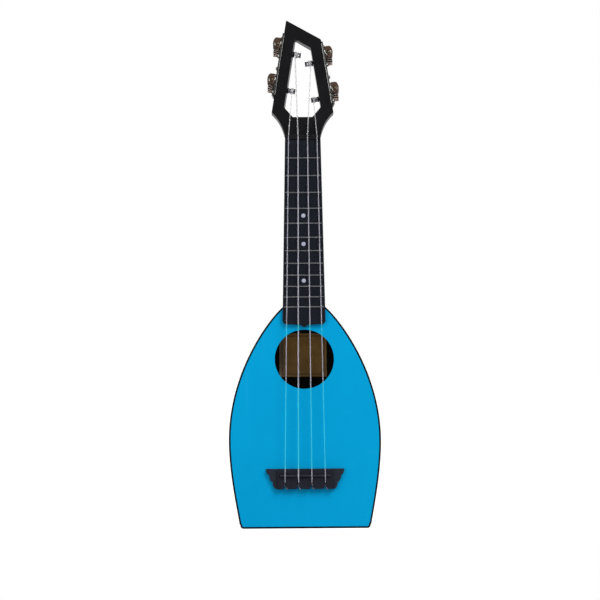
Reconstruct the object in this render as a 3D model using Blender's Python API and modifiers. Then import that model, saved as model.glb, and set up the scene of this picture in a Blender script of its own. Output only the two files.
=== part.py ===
"""Soprano ukulele with a moulded body, a skeleton headstock and open-gear tuners.

Metres. Z runs up along the neck, the front faces -Y, +X is to the right seen from the front,
and the origin is the middle of the flat base that the body stands on.
"""

import math

import bmesh
import bpy
from mathutils import Matrix, Vector

FIT_GAP = 0.0003  # left between pieces that touch
CUT_OVERSHOOT = 0.001  # how far a cutter runs past the face that it cuts

# Strings and scale
SCALE_LENGTH = 0.345  # nut to saddle, 13.6 inches
SADDLE_SETBACK = 0.001  # moves the saddle back so that fretted notes stay in tune
FRET_COUNT = 12
STRING_NAMES = ("g", "c", "e", "a")
STRING_DIAMETERS = (0.00075, 0.0011, 0.0009, 0.00075)
NUT_STRING_SPREAD = 0.0293  # outer string to outer string
SADDLE_STRING_SPREAD = 0.0414
FRET_CLEARANCE_AT_NUT = 0.0004
FRET_CLEARANCE_AT_JOINT = 0.0024

# Body
BODY_LENGTH = 0.228  # base to neck joint, under the twelfth fret
BODY_DEPTH = 0.060
BODY_HALF_WIDTH = 0.0783
WIDEST_HEIGHT = 0.0903
BASE_HALF_WIDTH = 0.0671
SHOULDER_HANDLE = Vector((0.018, -0.0161))  # how the outline leaves the neck joint
FLANK_HANDLE_UP = 0.0672  # how long the side stays upright above its widest point
FLANK_HANDLE_DOWN = 0.0368
BASE_HANDLE = Vector((0.0016, 0.0125))
BASE_CORNER_RADIUS = 0.0036
BACK_EDGE_RADIUS = 0.0032
SHELL_WALL = 0.0022
RIM_LIP = 0.0011  # the black edge that shows round the soundboard
SOUNDBOARD_THICKNESS = 0.0020
SOUNDHOLE_RADIUS = 0.0304
SOUNDHOLE_BELOW_JOINT = 0.054
LINING_WIDTH = 0.0045
LINING_HEIGHT = 0.007
LABEL_WIDTH = 0.049
LABEL_HEIGHT = 0.045
LABEL_OFFSET = Vector((-0.0014, 0.0038))  # from the soundhole's centre
LABEL_THICKNESS = 0.0004

# Inside the body
NECK_BLOCK_WIDTH = 0.034
NECK_BLOCK_HEIGHT = 0.0135
BRACE_WIDTH = 0.006
BRACE_DEPTH = 0.0075
BRACE_CORNER = 0.0015
UPPER_BRACE_OFFSET = 0.0037  # brace centre above the soundhole's edge
LOWER_BRACE_OFFSET = 0.0097  # brace centre below the soundhole's edge
BRIDGE_PLATE_WIDTH = 0.090
BRIDGE_PLATE_HEIGHT = 0.026
BRIDGE_PLATE_THICKNESS = 0.002
BOLT_RADIUS = 0.003
BOLT_HEAD_RADIUS = 0.005
BOLT_HEAD_HEIGHT = 0.005
BOLT_REACH = 0.020  # how far the bolt goes into the heel
BOLT_DEPTH = 0.018  # behind the soundboard's front face
HEX_SOCKET_RADIUS = 0.0025
HEX_SOCKET_DEPTH = 0.0025

# Neck and fretboard
NUT_WIDTH = 0.0367
JOINT_WIDTH = 0.0435
NECK_DEPTH_AT_NUT = 0.016
NECK_DEPTH_AT_HEEL = 0.018
NECK_SIDE = 0.0025  # straight part of the side before the back's curve
NECK_BACK_POWERS = (0.85, 0.9)  # below 1 makes the back fuller than half an ellipse, across and deep
NECK_BACK_STEPS = 12
NECK_STEPS = 12
NECK_STEP_POWER = 1.7  # sections stand closer together at the heel
HEEL_DEPTH = 0.046
HEEL_LENGTH = 0.036
HEEL_SHARPNESS = 2.4
FRETBOARD_THICKNESS = 0.0040
FRETBOARD_OVERHANG = 0.0178  # runs on over the soundboard
FRETBOARD_CORNER_RADIUS = 0.004
FRETBOARD_TIP_DROP = 0.0034
FRETBOARD_END_SLOPE = 0.0008
FRETBOARD_TIP_HALF_WIDTH = 0.0036
FRET_CROWN_WIDTH = 0.0015
FRET_CROWN_HEIGHT = 0.0009
FRET_TANG_WIDTH = 0.0006
FRET_TANG_DEPTH = 0.0014
FRET_SIDE_MARGIN = 0.0010
DOT_RADIUS = 0.00215
DOT_DEPTH = 0.0014
DOT_POSITIONS = (5, 7, 10)
NUT_THICKNESS = 0.0048
NUT_RISE = 0.0021  # above the fretboard
STRING_NUT_DROP = 0.0001  # towards the headstock, across the nut

# Bridge
BRIDGE_TOP_WIDTH = 0.0803
BRIDGE_FOOT_WIDTH = 0.0598
BRIDGE_ABOVE_SADDLE = 0.0070
BRIDGE_BELOW_SADDLE = 0.0139
BRIDGE_WING_THICKNESS = 0.0034
BRIDGE_BLOCK_WIDTH = 0.0576
BRIDGE_BLOCK_THICKNESS = 0.0066
BRIDGE_SCALLOPS = 3  # shallow arcs down each slanted end
BRIDGE_SCALLOP_BULGE = 0.0012
SADDLE_THICKNESS = 0.0030
SADDLE_LENGTH = 0.0517
SADDLE_SLOT_DEPTH = 0.0034
SADDLE_CROWN = 0.0008
STRING_SADDLE_DROP = 0.0004  # at the saddle's lower edge
NOTCH_LENGTH = 0.0095
NOTCH_FLOOR = 0.0022
NOTCH_MOUTH_WIDTH = 0.0042  # the notch opens into a V for the string's knot
NOTCH_MOUTH_LENGTH = 0.0046
KNOT_DROP = 0.0018  # the string's end stands this far below the bridge

# Headstock: u across, v up along the head from the nut, w out of its face
HEAD_TILT = math.radians(12.5)
HEAD_THICKNESS = 0.012
HEAD_HALF_WIDTH = 0.0318
HEAD_SHOULDER = 0.0236  # height of the widest points
HEAD_FLARE = math.radians(9.0)  # the sides lean in by this angle
HEAD_LEFT_SIDE = 0.0992
HEAD_RIGHT_SIDE = 0.0784
HEAD_RAIL_WIDTH = 0.0120
HEAD_FOOT_WIDTH = 0.0376
HEAD_WAIST = Vector((0.0221, 0.0143))
WINDOW_FOOT = 0.0185
WINDOW_FOOT_HALF_WIDTH = 0.0101
WINDOW_CORNER = 0.0291
WINDOW_LEFT_TOP = 0.1016
WINDOW_RIGHT_TOP = 0.0922
HEAD_JOIN_LENGTH = 0.012
HEAD_JOIN_SINK = 0.001  # the neck ends this far inside the headstock
HEAD_JOIN_TAPER = 0.0012
HEAD_JOIN_DEPTH = 0.0108

# Tuners: x out of the rail, s up along the rail, w out of the head's face
TUNER_SPACING = 0.0388
LEFT_STATION = 0.0268  # lower gear's place along the rail from the widest point
RIGHT_STATION = 0.0173
GEAR_TEETH = 14
GEAR_PITCH_RADIUS = 0.0045
TOOTH_HEIGHT = 0.0006  # half of a tooth's full height
GEAR_THICKNESS = 0.0050
GEAR_OUTBOARD = 0.0052  # gear's middle from the rail
MESH_CLEARANCE = 0.00035
WORM_PITCH_RADIUS = 0.0030
WORM_LENGTH = 0.0070
WORM_JOURNAL_RADIUS = 0.0019
WORM_SIDES = 14
WORM_STEPS = 20
WORM_END_PROUD = 0.0010  # front end past the tab
KNOB_SHAFT_RADIUS = 0.0015
KNOB_SHAFT_LENGTH = 0.0070
KNOB_HALF_WIDTH = 0.0042
KNOB_HALF_HEIGHT = 0.0058
KNOB_LENGTH = 0.0125
KNOB_NECK_RADIUS = 0.0029
KNOB_STANDOFF = 0.0009
KNOB_SIDES = 20
KNOB_COLLAR = 0.10  # share of the knob's length
KNOB_SWELL = ((0.16, 0.80), (0.28, 0.95), (0.45, 1.0), (0.78, 0.96), (0.92, 0.80), (1.0, 0.50))
PLATE_THICKNESS = 0.0012
PLATE_HALF_WIDTH = 0.0052
PLATE_BELOW = 0.0105  # plate's end below the lower gear
PLATE_ABOVE = 0.0211  # plate's end above the upper gear
TAB_THICKNESS = 0.0010
TAB_FACE = 0.0050  # outer face of a tab from the head's middle
TAB_REACH = 0.0100
TAB_BELOW = 0.0044
TAB_ABOVE = 0.0068
TAB_CORNER_RADIUS = 0.0034
SCREW_PLACES = (-0.0069, 0.0215, 0.0539)  # from the lower gear, along the rail
SCREW_HEAD_RADIUS = 0.0021
SCREW_HEAD_HEIGHT = 0.0016
SCREW_SHANK_RADIUS = 0.0009
SCREW_SHANK_LENGTH = 0.0070
SCREW_POINT = 0.2  # share of the shank that tapers
SCREW_DOME = ((0.6, 0.85), (0.95, 0.45))  # shares of the head's radius and height
POST_SHAFT_RADIUS = 0.0015
POST_COLLAR_RADIUS = 0.0038  # washer between the plate and the gear
POST_ROLLER_RADIUS = 0.0025
POST_FLANGE_RADIUS = 0.0029
POST_FLANGE_THICKNESS = 0.0010
POST_ROLLER_LENGTH = 0.0080
POST_WALL_GAP = 0.0004
POST_END_PROUD = 0.0006  # shaft past the gear
POST_HOLE_RADIUS = 0.0006
POST_HOLE_FROM_END = 0.0026
STRING_REACH = (0.0051, 0.0023, 0.0022, 0.0060)  # where each string meets its post, from the rail

# Values worked out from the ones above
FRONT = -BODY_DEPTH / 2
NUT_HEIGHT = BODY_LENGTH + SCALE_LENGTH / 2
SADDLE_HEIGHT = NUT_HEIGHT - SCALE_LENGTH - SADDLE_SETBACK
SOUNDHOLE_HEIGHT = BODY_LENGTH - SOUNDHOLE_BELOW_JOINT
SOUNDBOARD_BACK = FRONT + SOUNDBOARD_THICKNESS
BACK_INSIDE = BODY_DEPTH / 2 - SHELL_WALL
FRETBOARD_BACK = FRONT - FIT_GAP
FRETBOARD_FRONT = FRETBOARD_BACK - FRETBOARD_THICKNESS
FRET_TOP = FRETBOARD_FRONT - FIT_GAP - FRET_CROWN_HEIGHT
GEAR_TO_WORM = GEAR_PITCH_RADIUS + WORM_PITCH_RADIUS + MESH_CLEARANCE
TOOTH_PITCH = 2 * math.pi * GEAR_PITCH_RADIUS / GEAR_TEETH
PLATE_FACE = FIT_GAP + PLATE_THICKNESS

BLACK = ("black_moulded", (0.010, 0.010, 0.012), 0.42, 0.0)
BLUE = ("blue_soundboard", (0.0, 0.33, 0.64), 0.45, 0.0)
FRETBOARD_BLACK = ("blue_black_board", (0.013, 0.013, 0.018), 0.5, 0.0)
BRIDGE_BROWN = ("dark_bridge", (0.020, 0.017, 0.020), 0.55, 0.0)
NICKEL = ("nickel", (0.62, 0.61, 0.62), 0.28, 1.0)
BRONZE = ("bronze", (0.22, 0.13, 0.09), 0.35, 1.0)
STEEL = ("grey_steel", (0.42, 0.42, 0.43), 0.35, 1.0)
PEARL = ("pearl", (0.80, 0.80, 0.78), 0.30, 0.0)
NYLON = ("clear_nylon", (0.70, 0.68, 0.80), 0.25, 0.0)
KRAFT = ("kraft_paper", (0.18, 0.11, 0.05), 0.90, 0.0)
SPRUCE = ("spruce", (0.62, 0.45, 0.26), 0.65, 0.0)
WALNUT = ("inner_wood", (0.33, 0.20, 0.11), 0.65, 0.0)


def clear_scene():
    for item in list(bpy.data.objects):
        bpy.data.objects.remove(item, do_unlink=True)


def make_collection(name):
    collection = bpy.data.collections.new(name)
    bpy.context.scene.collection.children.link(collection)
    return collection


clear_scene()
PIECES = make_collection("soprano_ukulele")
CUTTERS = make_collection("cutters")


def material_for(finish):
    name, colour, roughness, metallic = finish
    material = bpy.data.materials.get(name)
    if material is None:
        material = bpy.data.materials.new(name)
        material.use_nodes = True
        shader = material.node_tree.nodes["Principled BSDF"]
        shader.inputs["Base Color"].default_value = (*colour, 1.0)
        shader.inputs["Roughness"].default_value = roughness
        shader.inputs["Metallic"].default_value = metallic
    return material


def add_mesh(name, mesh, finish, place=Matrix.Identity(4), smooth=True):
    """A named piece, or a hidden cutter when finish is None."""
    item = bpy.data.objects.new(name, mesh)
    if finish is None:
        CUTTERS.objects.link(item)
        item.hide_render = True
        item.display_type = "WIRE"
    else:
        PIECES.objects.link(item)
        mesh.materials.append(material_for(finish))
        if smooth:
            mesh.shade_smooth()
            mesh.set_sharp_from_angle(angle=math.radians(35))
    item.matrix_world = place
    return item


def finish_mesh(name, bm):
    bmesh.ops.recalc_face_normals(bm, faces=bm.faces)
    mesh = bpy.data.meshes.new(name)
    bm.to_mesh(mesh)
    bm.free()
    return mesh


def box(bm, low, high):
    """Adds a box between two corners."""
    low, high = Vector(low), Vector(high)
    size = high - low
    place = Matrix.Translation((low + high) / 2) @ Matrix.Diagonal((*size, 1.0))
    return bmesh.ops.create_cube(bm, size=1.0, matrix=place)["verts"]


def rod(bm, start, end, radius, sides=12):
    """Adds a closed cylinder between two points."""
    start, end = Vector(start), Vector(end)
    turn = (end - start).to_track_quat("Z", "Y").to_matrix().to_4x4()
    place = Matrix.Translation((start + end) / 2) @ turn
    bmesh.ops.create_cone(
        bm,
        cap_ends=True,
        segments=sides,
        radius1=radius,
        radius2=radius,
        depth=(end - start).length,
        matrix=place,
    )


def cut(item, cutter, operation="DIFFERENCE"):
    modifier = item.modifiers.new(operation.lower(), "BOOLEAN")
    modifier.operation = operation
    modifier.solver = "EXACT"
    modifier.object = cutter


def bevel_edges(item, width, segments=2):
    modifier = item.modifiers.new("rounded edges", "BEVEL")
    modifier.width = width
    modifier.segments = segments
    modifier.limit_method = "ANGLE"
    modifier.angle_limit = math.radians(40)


def face_in_front_plane(bm, points, y):
    face = bm.faces.new([bm.verts.new((x, y, z)) for x, z in points])
    face.normal_update()
    return face


def push(bm, faces, offset):
    """Extrudes faces into a closed solid."""
    made = bmesh.ops.extrude_face_region(bm, geom=faces)["geom"]
    moved = [v for v in made if isinstance(v, bmesh.types.BMVert)]
    bmesh.ops.translate(bm, verts=moved, vec=offset)


def trim(bm, face, distance):
    """Shrinks one flat face evenly."""
    ring = bmesh.ops.inset_individual(bm, faces=[face], thickness=distance, use_even_offset=True)
    bmesh.ops.delete(bm, geom=ring["faces"], context="FACES")


def add_outline_prism(bm, points, front, back, inset=0.0):
    """Adds a flat outline in X and Z, shrunk by the inset and thickened from front to back."""
    face = face_in_front_plane(bm, points, front)
    if inset:
        trim(bm, face, inset)
    push(bm, [face], (0, back - front, 0))


def outline_prism(name, points, front, back, inset=0.0):
    bm = bmesh.new()
    add_outline_prism(bm, points, front, back, inset)
    return finish_mesh(name, bm)


def loft(name, rings):
    """Joins rings with the same number of points and closes both ends."""
    bm = bmesh.new()
    rows = [[bm.verts.new(point) for point in ring] for ring in rings]
    count = len(rows[0])
    for lower, upper in zip(rows, rows[1:]):
        for i in range(count):
            j = (i + 1) % count
            bm.faces.new((lower[i], lower[j], upper[j], upper[i]))
    bm.faces.new(reversed(rows[0]))
    bm.faces.new(rows[-1])
    return finish_mesh(name, bm)


def turned(name, profile, finish, place, sides=16):
    """A turned piece: (radius, height) pairs run from the top down the outer side."""
    bm = bmesh.new()
    verts = [bm.verts.new((radius, 0, height)) for radius, height in profile]
    for upper, lower in zip(verts, verts[1:]):
        bm.edges.new((upper, lower))
    mesh = bpy.data.meshes.new(name)
    bm.to_mesh(mesh)
    bm.free()
    item = add_mesh(name, mesh, finish, place, smooth=False)
    screw = item.modifiers.new("turned", "SCREW")
    screw.axis = "Z"
    screw.steps = sides
    screw.render_steps = sides
    screw.use_merge_vertices = True
    screw.merge_threshold = 0.00001
    screw.use_smooth_shade = True
    return item


def plate_from_outlines(name, outlines, thickness):
    """A flat plate in its own XY plane, whose later outlines are its openings."""
    curve = bpy.data.curves.new(name, "CURVE")
    curve.dimensions = "2D"
    curve.fill_mode = "BOTH"
    curve.extrude = thickness / 2
    for outline in outlines:
        spline = curve.splines.new("POLY")
        spline.points.add(len(outline) - 1)
        for point, (u, v) in zip(spline.points, outline):
            point.co = (u, v, 0, 1)
        spline.use_cyclic_u = True
    holder = bpy.data.objects.new(name, curve)
    CUTTERS.objects.link(holder)
    graph = bpy.context.evaluated_depsgraph_get()
    mesh = bpy.data.meshes.new_from_object(holder.evaluated_get(graph))
    bpy.data.objects.remove(holder, do_unlink=True)
    bm = bmesh.new()
    bm.from_mesh(mesh)
    bmesh.ops.remove_doubles(bm, verts=bm.verts, dist=0.00001)
    bpy.data.meshes.remove(mesh)
    return finish_mesh(name, bm)


def aim(point, direction):
    """A place whose Z axis points along the direction."""
    turn = Vector(direction).to_track_quat("Z", "Y").to_matrix().to_4x4()
    return Matrix.Translation(point) @ turn


def bezier(start, start_handle, end_handle, end, count):
    """Points along a cubic curve, without its first."""
    points = []
    for i in range(1, count + 1):
        t = i / count
        a, b, c, d = (1 - t) ** 3, 3 * t * (1 - t) ** 2, 3 * t * t * (1 - t), t**3
        points.append(start * a + start_handle * b + end_handle * c + end * d)
    return points


def arc(centre, radius, first, last, count):
    points = []
    for i in range(count + 1):
        angle = math.radians(first + (last - first) * i / count)
        points.append(Vector((centre[0] + radius * math.cos(angle), centre[1] + radius * math.sin(angle))))
    return points


def mirrored(points):
    """A right half that runs from top to bottom, closed by its mirror image."""
    left = [Vector((-p[0], p[1])) for p in reversed(points) if abs(p[0]) > 1e-6]
    return list(points) + left


def body_outline():
    shoulder = Vector((JOINT_WIDTH / 2, BODY_LENGTH))
    widest = Vector((BODY_HALF_WIDTH, WIDEST_HEIGHT))
    base = Vector((BASE_HALF_WIDTH, 0))
    upright = Vector((0, 1))
    half = [shoulder]
    half += bezier(shoulder, shoulder + SHOULDER_HANDLE, widest + upright * FLANK_HANDLE_UP, widest, 16)
    lower = bezier(widest, widest - upright * FLANK_HANDLE_DOWN, base + BASE_HANDLE, base, 10)
    half += [p for p in lower if p[1] > BASE_CORNER_RADIUS * 1.2]
    corner = Vector((BASE_HALF_WIDTH - BASE_CORNER_RADIUS, BASE_CORNER_RADIUS))
    half += arc(corner, BASE_CORNER_RADIUS, 5, -90, 4)
    return mirrored(half)


def body_half_width(height, inset):
    """Half the body's width at a height, inside a wall as thick as the inset."""
    points = body_outline()
    half = points[: len(points) // 2]
    for upper, lower in zip(half, half[1:]):
        if upper[1] >= height >= lower[1]:
            side = upper - lower
            share = (upper[1] - height) / side[1]
            return upper[0] - side[0] * share - inset * side.length / side[1]
    return BASE_HALF_WIDTH - inset


def board_half_width(height):
    """Half the fretboard's width, which grows evenly from the nut."""
    share = (NUT_HEIGHT - height) / (NUT_HEIGHT - BODY_LENGTH)
    return (NUT_WIDTH + (JOINT_WIDTH - NUT_WIDTH) * share) / 2


def fret_height(number):
    return NUT_HEIGHT - SCALE_LENGTH * (1 - 2 ** (-number / 12))


def string_x(index, spread):
    return spread * (index / (len(STRING_NAMES) - 1) - 0.5)


def string_plane(height):
    """Y of the strings' undersides, from the clearance over the frets at nut and joint."""
    rise = (FRET_CLEARANCE_AT_JOINT - FRET_CLEARANCE_AT_NUT) / (NUT_HEIGHT - BODY_LENGTH)
    return FRET_TOP - FRET_CLEARANCE_AT_NUT - rise * (NUT_HEIGHT - height)


def bolt_y():
    return FRONT + BOLT_DEPTH


def make_body_shell():
    bm = bmesh.new()
    back = face_in_front_plane(bm, body_outline(), BODY_DEPTH / 2)
    rim = list(back.edges)
    made = bmesh.ops.extrude_edge_only(bm, edges=rim)["geom"]
    front_verts = [v for v in made if isinstance(v, bmesh.types.BMVert)]
    bmesh.ops.translate(bm, verts=front_verts, vec=(0, -BODY_DEPTH, 0))
    radius = min(BACK_EDGE_RADIUS, BASE_CORNER_RADIUS * 0.9)
    bmesh.ops.bevel(
        bm, geom=rim, offset=radius, offset_type="OFFSET", segments=3,
        profile=0.5, affect="EDGES", material=-1,
    )
    mesh = finish_mesh("body_shell", bm)
    shell = add_mesh("body_shell", mesh, BLACK)
    wall = shell.modifiers.new("wall", "SOLIDIFY")
    wall.thickness = SHELL_WALL
    wall.offset = -1
    wall.use_even_offset = True
    cuts = bmesh.new()
    seat_back = SOUNDBOARD_BACK + FIT_GAP
    add_outline_prism(cuts, body_outline(), FRONT - SHELL_WALL, seat_back, RIM_LIP)
    add_bolt_hole(cuts)
    cut(shell, add_mesh("shell_cuts", finish_mesh("shell_cuts", cuts), None))


def add_bolt_hole(bm):
    bottom = BODY_LENGTH - SHELL_WALL - NECK_BLOCK_HEIGHT * 2
    top = BODY_LENGTH + BOLT_REACH + FIT_GAP * 2
    rod(bm, (0, bolt_y(), bottom), (0, bolt_y(), top), BOLT_RADIUS + FIT_GAP, 16)


def make_soundboard():
    mesh = outline_prism("soundboard", body_outline(), FRONT, SOUNDBOARD_BACK, RIM_LIP + FIT_GAP)
    board = add_mesh("soundboard", mesh, BLUE)
    bm = bmesh.new()
    middle = (FRONT + SOUNDBOARD_BACK) / 2
    reach = SOUNDBOARD_THICKNESS
    rod(
        bm, (0, middle - reach, SOUNDHOLE_HEIGHT), (0, middle + reach, SOUNDHOLE_HEIGHT),
        SOUNDHOLE_RADIUS, 48,
    )
    cut(board, add_mesh("soundhole_cutter", finish_mesh("soundhole_cutter", bm), None))


def neck_block_box(grow):
    top = BODY_LENGTH - SHELL_WALL - FIT_GAP
    low = (-NECK_BLOCK_WIDTH / 2 - grow, SOUNDBOARD_BACK + FIT_GAP - grow, top - NECK_BLOCK_HEIGHT - grow)
    back = BODY_DEPTH / 2 - max(SHELL_WALL, BACK_EDGE_RADIUS) - FIT_GAP
    high = (NECK_BLOCK_WIDTH / 2 + grow, back + grow, top + grow)
    return low, high


def make_rim_lining():
    bm = bmesh.new()
    front = SOUNDBOARD_BACK + FIT_GAP
    face = face_in_front_plane(bm, body_outline(), front)
    trim(bm, face, SHELL_WALL + FIT_GAP)
    made = bmesh.ops.inset_individual(bm, faces=[face], thickness=LINING_WIDTH, use_even_offset=True)
    ring = made["faces"]
    bmesh.ops.delete(bm, geom=[face], context="FACES_ONLY")
    push(bm, ring, (0, LINING_HEIGHT, 0))
    lining = add_mesh("rim_lining", finish_mesh("rim_lining", bm), SPRUCE)
    gap = bmesh.new()
    low, high = neck_block_box(FIT_GAP)
    box(gap, low, (high[0], high[1], BODY_LENGTH))
    cut(lining, add_mesh("lining_gap", finish_mesh("lining_gap", gap), None))


def make_neck_block():
    bm = bmesh.new()
    box(bm, *neck_block_box(0))
    block = add_mesh("neck_block", finish_mesh("neck_block", bm), WALNUT, smooth=False)
    hole = bmesh.new()
    add_bolt_hole(hole)
    cut(block, add_mesh("block_hole", finish_mesh("block_hole", hole), None))


def make_neck_bolt():
    """A socket-head bolt that pulls the neck onto the body from inside."""
    head_top = neck_block_box(0)[0][2] - FIT_GAP
    seat = aim((0, bolt_y(), head_top), (0, 0, -1))
    reach = BODY_LENGTH + BOLT_REACH - head_top
    profile = (
        (0, BOLT_HEAD_HEIGHT - HEX_SOCKET_DEPTH),
        (HEX_SOCKET_RADIUS, BOLT_HEAD_HEIGHT - HEX_SOCKET_DEPTH),
        (HEX_SOCKET_RADIUS, BOLT_HEAD_HEIGHT),
        (BOLT_HEAD_RADIUS, BOLT_HEAD_HEIGHT),
        (BOLT_HEAD_RADIUS, 0),
        (BOLT_RADIUS, 0),
        (BOLT_RADIUS, -reach),
        (0, -reach),
    )
    turned("neck_bolt", profile, STEEL, seat, sides=12)


def make_brace(name, height):
    half_width = BRACE_WIDTH / 2
    inset = SHELL_WALL + LINING_WIDTH + FIT_GAP * 3
    half = min(body_half_width(height + edge, inset) for edge in (-half_width, half_width))
    front = SOUNDBOARD_BACK + FIT_GAP
    back = front + BRACE_DEPTH
    section = (
        (front, height - half_width),
        (back - BRACE_CORNER, height - half_width),
        (back, height - half_width + BRACE_CORNER),
        (back, height + half_width - BRACE_CORNER),
        (back - BRACE_CORNER, height + half_width),
        (front, height + half_width),
    )
    rings = [[(x, y, z) for y, z in section] for x in (-half, half)]
    add_mesh(name, loft(name, rings), SPRUCE, smooth=False)


def make_bridge_plate():
    bm = bmesh.new()
    front = SOUNDBOARD_BACK + FIT_GAP
    middle = SADDLE_HEIGHT + (BRIDGE_ABOVE_SADDLE - BRIDGE_BELOW_SADDLE) / 2
    half = BRIDGE_PLATE_HEIGHT / 2
    box(
        bm,
        (-BRIDGE_PLATE_WIDTH / 2, front, middle - half),
        (BRIDGE_PLATE_WIDTH / 2, front + BRIDGE_PLATE_THICKNESS, middle + half),
    )
    add_mesh("bridge_plate", finish_mesh("bridge_plate", bm), SPRUCE, smooth=False)


def make_label():
    bm = bmesh.new()
    back = BACK_INSIDE - FIT_GAP
    x, z = Vector((0, SOUNDHOLE_HEIGHT)) + LABEL_OFFSET
    box(
        bm,
        (x - LABEL_WIDTH / 2, back - LABEL_THICKNESS, z - LABEL_HEIGHT / 2),
        (x + LABEL_WIDTH / 2, back, z + LABEL_HEIGHT / 2),
    )
    add_mesh("soundhole_label", finish_mesh("soundhole_label", bm), KRAFT, smooth=False)


def neck_section(half_width, front, depth, height):
    """A flat front with a rounded back, as one ring of points."""
    side = min(NECK_SIDE, depth / 3)
    points = [(half_width, front, height)]
    across, deep = NECK_BACK_POWERS
    for i in range(NECK_BACK_STEPS + 1):
        angle = math.pi * i / NECK_BACK_STEPS
        x = half_width * math.copysign(abs(math.cos(angle)) ** across, math.cos(angle))
        points.append((x, front + side + (depth - side) * math.sin(angle) ** deep, height))
    points.append((-half_width, front, height))
    return points


def neck_rings():
    rings = []
    bottom = BODY_LENGTH + FIT_GAP
    nut_top = NUT_HEIGHT + NUT_THICKNESS
    for i in range(NECK_STEPS + 1):
        share = i / NECK_STEPS
        height = bottom + (NUT_HEIGHT - bottom) * share**NECK_STEP_POWER
        depth = NECK_DEPTH_AT_HEEL + (NECK_DEPTH_AT_NUT - NECK_DEPTH_AT_HEEL) * share
        heel = max(0.0, 1 - (height - bottom) / HEEL_LENGTH)
        depth += (HEEL_DEPTH - NECK_DEPTH_AT_HEEL) * heel**HEEL_SHARPNESS
        rings.append(neck_section(board_half_width(height), FRONT, depth, height))
    half_width = NUT_WIDTH / 2
    rings.append(neck_section(half_width, FRONT, NECK_DEPTH_AT_NUT, nut_top))
    lean = math.tan(HEAD_TILT)
    for rise, share in ((0.45, 0.5), (1.0, 0.95)):
        height = nut_top + HEAD_JOIN_LENGTH * rise
        sink = FRONT + (height - nut_top) * lean + HEAD_JOIN_SINK
        depth = NECK_DEPTH_AT_NUT + (HEAD_JOIN_DEPTH - NECK_DEPTH_AT_NUT) * share - HEAD_JOIN_SINK
        rings.append(neck_section(half_width - HEAD_JOIN_TAPER * rise, sink, depth, height))
    return rings


def head_frame():
    """Where the headstock's face leaves the nut: X is u, Y is v and Z is w."""
    turn = Matrix.Rotation(math.pi / 2 - HEAD_TILT, 4, "X")
    return Matrix.Translation((0, FRONT, NUT_HEIGHT + NUT_THICKNESS)) @ turn


def side_point(side, distance, inward=0.0):
    """A point on a headstock side, measured up from its widest point."""
    up = Vector((-side * math.sin(HEAD_FLARE), math.cos(HEAD_FLARE)))
    inwards = Vector((-side * math.cos(HEAD_FLARE), -math.sin(HEAD_FLARE)))
    return Vector((side * HEAD_HALF_WIDTH, HEAD_SHOULDER)) + up * distance + inwards * inward


def window_point(side, height):
    """The point at a height on the inner wall of a headstock rail."""
    base = side_point(side, 0, HEAD_RAIL_WIDTH)
    return Vector((base[0] - side * (height - base[1]) * math.tan(HEAD_FLARE), height))


def head_outlines():
    foot = Vector((HEAD_FOOT_WIDTH / 2, 0))
    shoulder = Vector((HEAD_HALF_WIDTH, HEAD_SHOULDER))
    waist = bezier(foot, foot.lerp(HEAD_WAIST, 2 / 3), shoulder.lerp(HEAD_WAIST, 2 / 3), shoulder, 8)
    right = [foot] + waist
    left = [Vector((-p[0], p[1])) for p in reversed(right)]
    outer = right + [side_point(1, HEAD_RIGHT_SIDE), side_point(-1, HEAD_LEFT_SIDE)] + left
    window = [
        Vector((-WINDOW_FOOT_HALF_WIDTH, WINDOW_FOOT)),
        Vector((WINDOW_FOOT_HALF_WIDTH, WINDOW_FOOT)),
        window_point(1, WINDOW_CORNER),
        window_point(1, WINDOW_RIGHT_TOP),
        window_point(-1, WINDOW_LEFT_TOP),
        window_point(-1, WINDOW_CORNER),
    ]
    return outer, window


def make_neck():
    neck = add_mesh("neck", loft("neck", neck_rings()), BLACK)
    outer, window = head_outlines()
    slab = plate_from_outlines("headstock", (outer, window), HEAD_THICKNESS)
    middle = head_frame() @ Matrix.Translation((0, 0, -HEAD_THICKNESS / 2))
    cut(neck, add_mesh("headstock", slab, None, middle), "UNION")
    holes = bmesh.new()
    add_bolt_hole(holes)
    add_rail_holes(holes)
    cut(neck, add_mesh("neck_holes", finish_mesh("neck_holes", holes), None))


def fretboard_outline():
    end = BODY_LENGTH - FRETBOARD_OVERHANG
    side = board_half_width(end)
    corner = Vector((side - FRETBOARD_CORNER_RADIUS, end + FRETBOARD_CORNER_RADIUS))
    half = [Vector((board_half_width(NUT_HEIGHT), NUT_HEIGHT - FIT_GAP))]
    half += arc(corner, FRETBOARD_CORNER_RADIUS, 0, -90, 4)
    half += [
        Vector((FRETBOARD_TIP_HALF_WIDTH, end - FRETBOARD_END_SLOPE)),
        Vector((0, end - FRETBOARD_TIP_DROP)),
    ]
    return mirrored(half)


def fret_half_length(number):
    return board_half_width(fret_height(number)) - FRET_SIDE_MARGIN


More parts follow.
